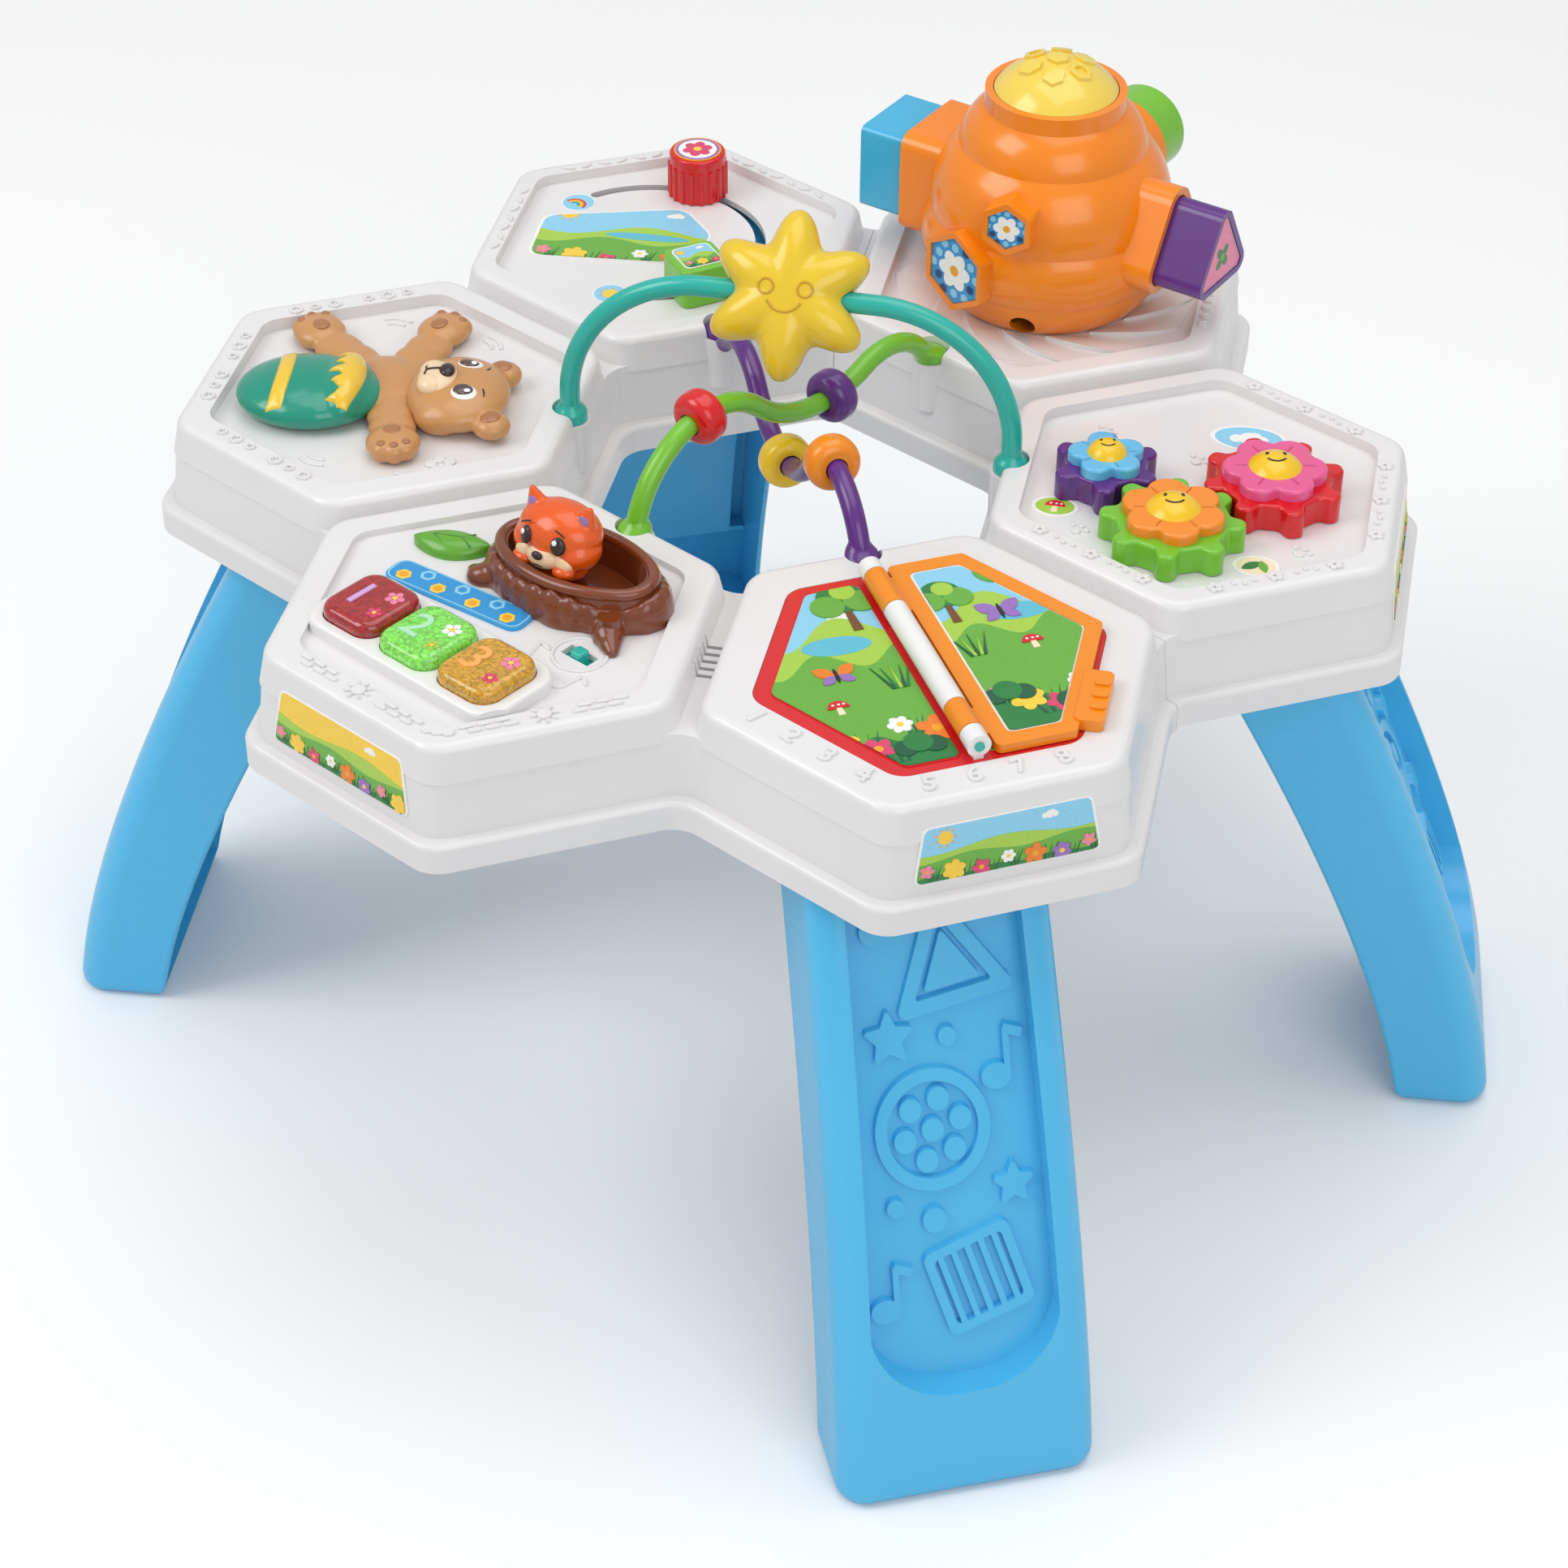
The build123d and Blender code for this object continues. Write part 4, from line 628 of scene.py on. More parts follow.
def relief(name, shapes, tall):
    """Raised motifs with soft edges, moulded in one with the trays."""
    bm = bmesh.new()
    for k, (place, pts) in enumerate(shapes):
        slab(bm, place, pts, -RELIEF_SINK, tall + TOP_STEP * (k % 5))
    piece = new_piece(name, bm, "table", [shell_plastic()], 50.0)
    bevel = piece.modifiers.new("soft_edge", "BEVEL")
    bevel.width = sizes().soft
    bevel.segments = 2
    bevel.limit_method = "ANGLE"
    bevel.angle_limit = math.radians(50)


def figure_text(name, body, text, matrix, size, tall, mat):
    """A plain digit, raised."""
    curve = bpy.data.curves.new(name, "FONT")
    curve.body = text
    curve.size = size * MM
    curve.extrude = tall * MM / 2
    curve.bevel_depth = DIGIT_BEVEL * MM
    curve.bevel_resolution = 2
    curve.align_x = "CENTER"
    curve.align_y = "CENTER"
    mesh = curve_mesh(curve)
    mesh.transform(matrix)
    mesh_piece(name, mesh, body, [mat], 50.0)


def line_piece(name, body, runs, radius, mat, base):
    """Rounded raised lines through points in millimetres."""
    curve = bpy.data.curves.new(name, "CURVE")
    curve.dimensions = "3D"
    curve.bevel_depth = radius * MM
    curve.bevel_resolution = 4
    curve.use_fill_caps = True
    for run in runs:
        spline = curve.splines.new("NURBS")
        spline.points.add(len(run) - 1)
        for point, where in zip(spline.points, run):
            point.co = (*(base @ (Vector(where) * MM)), 1)
        spline.order_u = 3
        spline.use_endpoint_u = True
    mesh_piece(name, curve_mesh(curve), body, [mat], 60.0)


def egg(centre, radii, turn=(0, 0, 0)):
    """The matrix of a stretched ball, from millimetres and degrees."""
    spin = Euler([math.radians(a) for a in turn]).to_matrix().to_4x4()
    stretch = Matrix.Diagonal((*[r * MM for r in radii], 1))
    return Matrix.Translation(Vector(centre) * MM) @ spin @ stretch


def studs(name, body, eggs, mat, base):
    """Stretched balls of one colour, such as eyes or a nose."""
    bm = bmesh.new()
    for one in eggs:
        bmesh.ops.create_uvsphere(bm, u_segments=28, v_segments=16, radius=1.0, matrix=base @ egg(*one))
    return new_piece(name, bm, body, [mat], 180.0)


def moulded(name, body, eggs, mat, base, voxel=0.9, rounds=5, foot=None):
    """Stretched balls run together into one soft moulding, flat where it stands."""
    piece = studs(name, body, eggs, mat, base)
    remesh = piece.modifiers.new("join", "REMESH")
    remesh.mode = "VOXEL"
    remesh.voxel_size = voxel * MM
    remesh.use_smooth_shade = True
    soften = piece.modifiers.new("soften", "SMOOTH")
    soften.factor = 0.6
    soften.iterations = rounds
    settled(piece)
    if foot is not None:
        for vert in piece.data.vertices:
            vert.co.z = max(vert.co.z, foot * MM)
    return piece


def execute_with(*works):
    """An operator's execute from plain functions of no arguments."""
    def execute(self, context):
        for work in works:
            work()
        return {"FINISHED"}
    return execute


# Mouldings
def finish_mouldings():
    c = colours()
    dress("table_top_main table_top_side", shell_plastic())
    dress("leg_gears leg_slider leg_bear leg_book", plastic("leg_plastic", c.leg, 0.29, 0.2, 900.0, 0.03))
    dress("bottom_cover battery_box battery_door",
          plastic("cover_plastic", tone(205, 204, 202), 0.5, 0.0, 600.0, 0.3))
    dress("cover_screws leg_screws door_screw",
          material("screw_steel", brushed, (0.62, 0.62, 0.60), {"Roughness": "Roughness", "Metallic": 1.0}))
    for nodes, name, base, gloss in (
            ("circuit_board", "board_lacquer", tone(24, 104, 62), 0.35),
            ("batteries", "cell_sleeve", tone(52, 54, 60), 0.3),
            ("speaker", "speaker_frame", tone(26, 26, 28), 0.6),
            ("button_leds", "lamp_lens", tone(238, 238, 226), 0.15),
            ("button_domes", "contact_rubber", tone(206, 204, 196), 0.7),
            ("button_bezel", "bezel_plastic", tone(236, 235, 234), 0.28),
            ("gear_axles bear_pivot hive_pivot", "axle_plastic", tone(200, 200, 200), 0.4),
            ("switch_knob page_pin wire_teal", "teal_plastic", c.teal, 0.25),
            ("book_spine", "spine_plastic", tone(240, 239, 238), 0.25),
            ("page_frame bead_orange", "orange_plastic", c.orange, 0.25),
            ("hive_shell hive_plaques", "hive_plastic", c.hive, 0.24),
            ("block_square", "cyan_plastic", c.cyan, 0.25),
            ("block_round wire_green gear_green knob_green", "green_plastic", c.green, 0.25),
            ("block_triangle wire_purple gear_purple bead_purple", "purple_plastic", c.purple, 0.25),
            ("gear_red knob_red bead_red", "red_plastic", c.red, 0.22),
            ("bead_yellow", "yellow_plastic", c.yellow, 0.25),
            ("flower_purple", "petal_blue", tone(98, 188, 232), 0.25),
            ("flower_green", "petal_orange", tone(246, 142, 30), 0.25),
            ("flower_red", "petal_pink", tone(232, 92, 148), 0.25),
            ("leaf", "leaf_plastic", tone(96, 168, 44), 0.28),
            ("book_bed", "bed_plastic", tone(216, 24, 34), 0.28),
            ("page_card", "card_plastic", tone(236, 244, 240), 0.3),
            ("picture_strip", "strip_plastic", tone(38, 158, 220), 0.28)):
        dress(nodes, plastic(name, base, gloss, 0.35, 420.0, 0.08))
    dress("hive_dome", plastic("dome_plastic", c.dome, 0.2, 0.5, 300.0, 0.08, 0.15))
    look = {"Roughness": 0.24, "Coat Weight": 0.6}
    # The bark plastic has painted shade in the hollows of its furrows.
    dress("log_bowl", material("log_bark", bark, c.log, look, (0.0008, 0.12)))


# Raised motifs on the rims and in the trays
def along(tile, angles, drawn):
    """The same shapes on several sides of a tray's rim."""
    return [(rim(tile, angle), pts) for angle in angles for pts in drawn]


def raise_rims():
    bricks = [oblong(side * (14 + 7.2 * k + 3 * row), -1.6 + 3.2 * row, 5.8, 2.2, 0.9)
              for side in SIDES for row in (0, 1) for k in range(3)]
    rays = [oblong(*polar(4.6, 45 * k), 2.4, 1.0, 0.45, 45 * k) for k in range(8)]
    shapes = along("fox", (270, 330), bricks + [ring(0, 0, 3.0)] + rays)
    clouds = [ring(*cloud) for cloud in ((0, 0, 3.4), (-4.2, -0.6, 2.4), (4.2, -0.5, 2.6))]
    shapes += [(rim("fox", 300, RIM_CORNER), pts) for pts in clouds]
    blooms = [ring(x + px, py, 1.4, count=14) for x in (-27, 0, 27)
              for px, py in (polar(2.1, 72 * k + 18) for k in range(5))]
    dots = [ring(x, 0.9 * math.sin(x), 1.0, count=12) for x in (-18.5, -14, -9.5, 9.5, 14, 18.5)]
    shapes += along("gears", (330, 30, 90, 270), blooms + dots)
    cells = []
    for x, size in ((-26, 2.5), (-17, 3.4), (-8, 2.5), (8, 3.4), (17, 2.5), (26, 3.4)):
        outer, inner = hexagon(x, 0, size, 30), hexagon(x, 0, size * 0.55, 30)
        cells += [[outer[j], outer[j + 1], inner[j + 1], inner[j]] for j in range(-6, 0)]
    shapes += along("bear", (150, 210, 270), cells)
    straws = [lens(-28 + 7 * k + dx, 0, long, wide, turn) for k in range(9)
              for dx, long, wide, turn in ((0, 5.2, 1.6, 68), (2.2, 4.4, 1.4, 108))]
    shapes += along("hive", (30, 90, 150), straws)
    leaves = [lens(-27 + 9 * k, 0, 6.4, 2.2, 25 if k % 2 else -25) for k in range(7)]
    shapes += along("slider", (90, 150, 210), leaves)
    relief("rim_motifs", shapes, sizes().relief / MM)
    for angle, digits in ((270, "1234"), (330, "5678")):
        place = rim("book", angle)
        for k, digit in enumerate(digits):
            spin = Matrix.Rotation(math.radians(-10 + 7 * k), 4, "Z")
            figure_text("rim_digit_" + digit, "table", digit, place.matrix(-28 + 18.5 * k, 0, 0.3) @ spin,
                        12.0, 1.4, shell_plastic())


def raise_trays():
    bear, gears = tray("bear"), tray("gears")
    shapes = [(bear, band(x * 0.9, y * 0.9, 7.2 + wave, 8.8 + wave, turn - 32, turn + 32))
              for x, y, turn in ((-2, 59, 70), (-44, 42, 120), (50, -38, -50), (12, -55, -80))
              for wave in (0, 4.2)]
    shapes += [(bear, ring(56 + px, -24 + py, 2.8, count=14))
               for px, py in (polar(4.4, 72 * k) for k in range(5))]
    shapes += [(gears, ring(x + dx, y + dy, size, size * 0.8, count=14))
               for x, y in ((-14, 16), (-58, 8), (-20, -61), (60, -12))
               for dx, dy, size in ((0, 0, 2.6), (-3.6, 3.0, 1.4), (0, 4.4, 1.4), (3.6, 3.0, 1.4))]
    note = (ring(-3, -4, 3.0, 2.3, 20), oblong(-0.6, 1.5, 1.2, 11, 0.5), lens(2.4, 5.6, 7.0, 2.2, -30))
    shapes += [(tray("fox", *where), pts) for where in ((56, -14, -8), (30, -8, 15)) for pts in note]
    shapes.append((tray("fox"), band(45, 3, 10.5, 12.0, 0, 359.9, 40)))
    relief("tray_motifs", shapes, 0.9)
    bm = bmesh.new()
    swirl, blades, inner, long, twist, share = tray("hive"), 14, 46, 24, 34, 0.86
    for k in range(blades):
        rows = []
        for j in range(11):
            t = j / 10
            near, far = (polar(inner + long * t, 360 / blades * edge + twist * t) for edge in (k, k + share))
            crest = 0.3 + 2.2 * math.sin(math.pi * (0.12 + 0.83 * t))
            rows.append([swirl.at(*near, -0.2), swirl.at(*near, crest), swirl.at(*far, 0.05),
                         swirl.at(*far, -0.2)])
        loft(bm, rows)
    new_piece("hive_swirl", bm, "table", [shell_plastic()], 40.0)


# Printed labels on the outer walls and in the trays
def lay_wall_labels():
    wide, top, tall = 78, 70, 25
    outline = softened(post(0, -tall / 2, wide / 2, top / 2, tall), 3.0)
    for tile, *picture in (("fox", "sun", 0.4, 8, 1.1, False), ("book", "sky", 1.7, 7, 1.2),
                           ("gears", "cream", 2.9, 8, 1.0)):
        place = facing(tile, TILE_ANGLE[tile], WALL_REACH, WALL_Z, WALL_LEAN)
        label("wall_label_" + tile, "table", place, outline, meadow(wide, tall, *picture), "strip_print")


def lay_slider_labels():
    corners = [(-64, -19), (-43, -52), (13, -12), (12, 20), (-17, 31)]
    turn = 36
    cx, cy = (sum(values) / len(corners) for values in zip(*corners))
    outline = turned(softened([(x - cx, y - cy) for x, y in corners], 7.0), 0, 0, -turn)
    label("slider_meadow", "table", tray("slider", cx, cy, turn), outline,
          meadow(92, 62, "sky", 0.9, 6, 0.62, True, True), "strip_print")
    bow = [(ring(0, 0, 7.6), "sky", 0)]
    for k, paint in enumerate(("red", "orange", "sun", "grass", "blue")):
        bow.append((band(0, -2.6, 5.6 - 0.9 * (k + 1), 5.6 - 0.9 * k, 0, 180), paint, 1))
    day = [(ring(0, 0, 8), "sky", 0)] + sunshine(0, 0, 3.6, 1)
    for name, x, y, art in (("rainbow", -60, 1, bow), ("sun", 11, -51, day)):
        label("slider_" + name, "table", tray("slider", x, y), ring(0, 0, 8.2, count=36), art, "strip_print",
              margin=0.5, thin=0.45)


def lay_gear_labels():
    leaves = [(lens(-2, 0, 10, 5, 40), "leaf", 1), (lens(3, 0, 9, 4, 110), "grass", 1)]
    for name, x, y, rx, ry, paint, art in (
            ("cloud", -8, 47, 17, 10, "sky", puff(0, 0, 7.5, 1)),
            ("toadstool", -38, -52, 10, 7.5, "lime", toadstool(0, -4.4, 9.0, 1)),
            ("leaf", 52, -31, 10, 7.5, "cream", leaves)):
        label("gear_label_" + name, "table", tray("gears", x, y, 30), ring(0, 0, rx, ry, count=36),
              [(ring(0, 0, rx - 1, ry - 1), paint, 0)] + art, "strip_print", margin=1.2, thin=0.5)


def lay_strip():
    place = tray("fox", -20, -1, 7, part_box("picture_strip")[1][2] / MM)
    art = [(oblong(0, 0, 67, 12.6, 4.0), "blue", 0)]
    for k in range(7):
        y, outer, inner = (2.6, "sky", "blue") if k % 2 else (-2.4, "sun", "honey")
        art += [(hexagon(-27 + 9 * k, y, 3.6), outer, 1), (hexagon(-27 + 9 * k, y, 2.1), inner, 2)]
    label("strip_picture", "table", place, oblong(0, 0, 68.5, 13.6, 4.4), art, "strip_print", "sky", 0.5)


# Feet of the bead wires, as rings of a height, a radius and a share of the wire's lean. For each end of a
# wire: its side, how it bends away from its post, as a radius and a drop of its centre, and its rings. The
# purple wire's other end leans too far for more than a collar.
POST_REACH = 98.0
POST_DROP = 6.0
FOOT_RINGS = ((0.3, 7.6, 0.0), (4.0, 7.5, 0.35), (5.2, 6.9, 0.7), (6.4, 5.7, 1.0), (7.8, 4.8, 1.0),
              (9.0, 4.4, 1.0))
COLLAR_RINGS = ((0.3, 7.7, 0.0), (2.8, 7.5, 0.0), (3.6, 6.7, 0.0))
WIRE_FEET = {"teal": (30, ((-1, 1e6, 0.0, FOOT_RINGS), (1, 1e6, 0.0, FOOT_RINGS))),
             "green": (90, ((-1, 46.5, -6.0, FOOT_RINGS), (1, 34.0, -14.5, FOOT_RINGS))),
             "purple": (330, ((-1, 32.0, -20.0, COLLAR_RINGS), (1, 36.0, -10.0, FOOT_RINGS)))}


def seat_wires():
    for name, (angle, ends) in WIRE_FEET.items():
        bm = bmesh.new()
        for side, bend, drop, rings in ends:
            rows = []
            for up, radius, follow in rings:
                inward = bend - math.sqrt(bend ** 2 - (up - drop) ** 2)
                x, y = polar(side * (POST_REACH - inward * follow), angle)
                place = level_place(x, y, RIM_Z - POST_DROP + up)
                rows.append([place.at(*spot) for spot in ring(0, 0, radius)])
            loft(bm, rows)
        new_piece("wire_feet_" + name, bm, "table", [MADE[name + "_plastic"]], 60.0)


# Star on the arch
STAR_HALF = 14.0
STAR_MEAN, STAR_WAVE = 30.4, 6.4
STAR_PUFF = 0.72
STAR_LEAN = 38
STAR_HOLE = 5.1


def star_frame():
    joint = JOINTS["star_spin"]
    x_axis = Vector(joint["axis"]).normalized()
    lean = math.radians(STAR_LEAN)
    flat = Vector((x_axis.y, -x_axis.x, 0))
    z_axis = flat * math.cos(lean) + Vector((0, 0, math.sin(lean)))
    rows = Matrix((x_axis, z_axis.cross(x_axis), z_axis)).transposed().to_4x4()
    rows.translation = Vector(joint["pos_m"])
    return rows


def star_reach(angle):
    return STAR_MEAN + STAR_WAVE * math.cos(math.radians(6 * (angle - 90)))


def on_star(x, y):
    """A point of a raised line on the star's front."""
    share = math.hypot(x, y) / star_reach(math.degrees(math.atan2(y, x)))
    return x, y, STAR_HALF * math.sqrt(max(0.0, 1 - share ** (2 / STAR_PUFF))) + LINE_LIFT


def make_star():
    base = star_frame()
    around, levels = 132, 26
    rows = []
    for j in range(1, levels):
        lift = -math.pi / 2 + math.pi * j / levels
        spots = [polar(star_reach(a) * math.cos(lift) ** STAR_PUFF, a)
                 for a in (360 * k / around for k in range(around))]
        rows.append([base @ (Vector((x, y, STAR_HALF * math.sin(lift))) * MM) for x, y in spots])
    bm = bmesh.new()
    loft(bm, rows, [base @ Vector((0, 0, side * STAR_HALF * MM)) for side in SIDES])
    skin = plastic("star_plastic", colours().star, 0.26, 0.4, 420.0, 0.08, 0.08)
    piece = new_piece("puffed_star", bm, "spinner_star", [skin], 180.0)
    drill = bmesh.new()
    bmesh.ops.create_cone(drill, cap_ends=True, segments=40, radius1=STAR_HOLE * MM, radius2=STAR_HOLE * MM,
                          depth=0.1, matrix=base @ Matrix.Rotation(math.pi / 2, 4, "Y"))
    tool = linked("star_drill", mesh_of("star_drill", drill))
    cut = piece.modifiers.new("wire_hole", "BOOLEAN")
    cut.operation = "DIFFERENCE"
    cut.solver = "EXACT"
    cut.object = tool
    settled(piece)
    bpy.data.objects.remove(tool)
    piece.data.set_sharp_from_angle(angle=math.radians(50))
    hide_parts("star")
    line = plastic("star_line", tone(206, 160, 18), 0.3, 0.3, 420.0, 0.05)
    runs = [sweep(side * 8.4, 1.5, 3.3, 0, 360, 12) for side in SIDES] + [sweep(0, -0.5, 8.2, 208, 332, 12)]
    line_piece("star_smile", "spinner_star", [[on_star(*spot) for spot in run] for run in runs], 0.55, line,
               base)


# Gear flowers
EYE_RISE = 5.35


def make_flowers():
    yellow = plastic("flower_eye_plastic", colours().yellow, 0.24, 0.4, 420.0, 0.06)
    for name, size, petals in (("green", 11.0, 6), ("red", 11.0, 6), ("purple", 8.25, 5)):
        node, body, slot = "flower_" + name, name + "_gear", "gear_" + name
        x, y, _ = JOINTS[body + "_spin"]["pos_m"]
        place = level_place(x / MM, y / MM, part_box(node)[0][2] / MM + 5.0, FACE_TURN)
        base = place.matrix()
        k = size / 11.0
        reach = size + 0.35
        curve = (reach ** 2 + EYE_RISE ** 2) / (2 * EYE_RISE)

        def raised(px, py, more=0.0):
            return px, py, EYE_RISE - curve + math.sqrt(curve ** 2 - px ** 2 - py ** 2) + more

        bm = bmesh.new()
        rows = [[place.at(*raised(*polar(reach * (1 - j / 10), 10 * n))) for n in range(36)]
                for j in range(10)]
        loft(bm, rows, (None, place.at(*raised(0, 0))))
        new_piece("flower_eye_" + name, bm, body, [yellow], 60.0)
        eyes = [(raised(side * 3.6 * k, 1.8 * k), (0.9 * k, 1.25 * k, 0.3)) for side in SIDES]
        studs("flower_eyes_" + name, body, eyes, face_ink(), base)
        smile = [raised(*spot, 0.02) for spot in sweep(0, 0.6 * k, 4.6 * k, 215, 325, 8)]
        line_piece("flower_smile_" + name, body, [smile], 0.42 * k, face_ink(), base)
        # The petal lines take the petal plastic darkened: painted shade along the petals' grooves.
        petal_shade_colour = tuple(v * 0.72 for v in NODES[node].data.materials[0].diffuse_color[:3])
        groove_shade_plastic = plastic("petal_shade_line_" + name, petal_shade_colour, 0.3)
        run = ((0.9, 0.02), (0.45 + 2.75 * k, 0.02), (5.5 * k, 0.0))
        veins = [[(*polar(reach + far, 360 / petals * j), z) for far, z in run] for j in range(petals)]
        line_piece("petal_veins_" + name, body, veins, 0.4, groove_shade_plastic, base)


# Knobs, blocks and hive with their small pictures
def dress_knobs():
    art = [(ring(0, 0, 10.6), "lilac", 0), (ring(0, 0, 9.2), "paper", 1)]
    art += blossom(0, 0, 7.2, "rose", "sun", 2, 6)
    label("knob_red_picture", "red_knob", level_place(*top_of("knob_red"), FACE_TURN),
          ring(0, 0, 11.4, count=40), art, "knob_red", "honey", 0.7)
    label("knob_green_picture", "green_knob", level_place(*top_of("knob_green"), 68), oblong(0, 0, 19, 19, 3),
          meadow(19, 19, "sky", 0.3, 3, 0.9), "knob_green", "paper", 0.8)


def dress_blocks():
    triangle = softened([polar(22.6, 90 + 120 * k) for k in range(3)], 3.0)
    for kind, angle, slot, outline, paint, art in (
            ("triangle", 8, "block_purple", triangle, "pink", blossom(0, 0, 6.5, "leaf", "grass", 1, 4, 45)),
            ("round", 98, "block_green", ring(0, 0, 17.3, count=48), "lime",
             blossom(0, 0, 8.5, "orange", "sun", 1, 6)),
            ("square", 188, "block_cyan", oblong(0, 0, 34.6, 34.6, 1.0), "sky", sunshine(0, 0, 6.0, 1))):
        low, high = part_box("block_" + kind)
        z = HIVE_FOOT + 44.0 if kind == "triangle" else (low[2] + high[2]) / 2 / MM
        label("block_picture_" + kind, kind + "_block", facing("hive", angle, BLOCK_FACE, z), outline,
              [(ring(0, 0, 40), paint, 0)] + art, slot, "paper", 0.8)


def dress_hive():
    for name, angle, z, size in (("large", 264, 31.0, 20.0), ("small", 289, 61.0, 13.0)):
        cell = size / 5.2
        art = [(hexagon(0, 0, size, 30), "blue", 0)]
        for row in range(-4, 5):
            for col in range(-4, 5):
                x, y = (col + 0.5 * (row % 2)) * cell * 1.74, row * cell * 1.5
                art.append((hexagon(x, y, cell * 0.62, 30), "sky" if (row + col) % 3 else "navy", 1))
        art += blossom(0, 0, size * 0.48, "paper", "honey", 2, 6, 0)
        label("plaque_picture_" + name, "hive", facing("hive", angle, 60.0, HIVE_FOOT + z),
              hexagon(0, 0, size - 3.1, 30), art, "plaque_yellow", "blue", 0.1)


# Keys: their digit, slot, glitter and its glow, the digit's colour and the inks of two flowers
KEYS = (("1", "button_red", (158, 26, 28), 0.04, (214, 168, 222), "pink", "rose"),
        ("2", "button_green", (110, 190, 70), 0.3, (176, 232, 188), "paper", "lime"),
        ("3", "button_yellow", (196, 146, 34), 0.04, (250, 176, 92), "pink", "rose"))


def dress_keys():
    for digit, slot, base, glow, pale, upper, lower in KEYS:
        node, body = "button_" + digit, "key_" + digit
        look = {"Roughness": 0.14, "Coat Weight": 0.8, "Coat Roughness": 0.04, "Subsurface Weight": 0.2,
                "Subsurface Radius": (0.006, 0.006, 0.004), "Emission Color": "Colour",
                "Emission Strength": glow}
        dress(node, material("key_glitter_" + digit, glitter, tone(*base), look, (0.0004, 0.25)))
        place = level_place(*top_of(node))
        figure_text("key_digit_" + digit, body, digit, place.matrix(-5.2, -1.0, 0.05), 21.0, 0.8,
                    plastic("digit_" + digit, tone(*pale), 0.25, 0.4))
        paints = [upper, "sun", lower]
        bm = bmesh.new()
        art = blossom(7.4, 6.4, 4.2, upper, "sun", 0) + blossom(8.4, -6.2, 3.4, lower, "sun", 0)
        for pts, paint, level in art:
            slab(bm, place, pts, -0.1, 0.2 + 0.12 * level, paints.index(paint))
        new_piece("key_flowers_" + digit, bm, body, [ink(p) for p in paints], 30.0)


# Fox, log and leaf
def log_place():
    return tray("fox", 13.0, 35.0, 7)


def make_fox():
    base = log_place().matrix(-8.0)
    coat = plastic("fox_plastic", colours().fox, 0.24, 0.4, 420.0, 0.06, 0.05)
    eggs = [((0, 0, 10), (12, 9.5, 5.4)), ((0, 0.5, 27), (19.0, 14.2, 12.2)), ((0, 0, 17), (13.5, 11.5, 8)),
            ((-10.5, -2, 22), (9.5, 10.5, 8.0)), ((10.5, -2, 22), (9.5, 10.5, 8.0)),
            ((0, -9, 22), (7.0, 6.4, 5.4))]
    for s in SIDES:
        eggs += [((s * (11.0 + 3.6 * t), 1.2, 32.5 + 8.6 * t), (6.6 - 5.0 * t, 4.4 - 2.9 * t, 4.6 - 3.0 * t),
                  (0, s * 22, 0)) for t in (k / 6 for k in range(7))]
        eggs.append(((s * 10.5, -12.4, 17.0), (5.0, 3.8, 3.0), (0, 0, s * 12)))
    piece = moulded("fox_figure", "fox", eggs, coat, base, 0.7, 4)
    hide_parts("fox_head")
    muzzle = [((0, -12.0, 20.6), (8.0, 4.4, 5.2), (-8, 0, 0))]
    muzzle += [((s * 8.2, -9.8, 19.4), (6.4, 3.9, 4.9), (0, 0, s * -18)) for s in SIDES]
    eyes = [((s * 8.0, -12.2, 28.4), (3.2, 1.7, 4.0), (-16, 0, s * 24)) for s in SIDES]
    # The white dots on the eyes are painted highlights.
    lights = [((s * 8.0 - 0.9, -13.4, 30.4), (1.1, 0.6, 1.2), (-16, 0, s * 24)) for s in SIDES]
    ears = [((s * 12.6, -1.3, 36.0), (2.7, 1.0, 3.5), (-14, s * 22, 0)) for s in SIDES]
    for part, stud, mat in (("muzzle", muzzle, plastic("fox_cream", tone(244, 208, 168), 0.28, 0.3)),
                            ("eyes", eyes, face_ink()), ("painted_eye_highlights", lights, eye_white()),
                            ("inner_ears", ears, plastic("ear_lilac", tone(150, 118, 176), 0.3, 0.3)),
                            ("nose", [((0, -16.0, 23.2), (2.6, 1.5, 1.9))], face_ink())):
        studs("fox_" + part, "fox", stud, mat, base)
    lines = [[(-3.4, -15.2, 19.4), (-1.8, -16.0, 18.4), (0, -16.2, 19.2), (1.8, -16.0, 18.4),
              (3.4, -15.2, 19.4)]]
    lines += [[(s * 6.2, -11.2, 35.2), (s * 8.6, -11.4, 34.6), (s * 10.8, -11.3, 33.2)] for s in SIDES]
    line_piece("fox_lines", "fox", lines, 0.38, face_ink(), base)


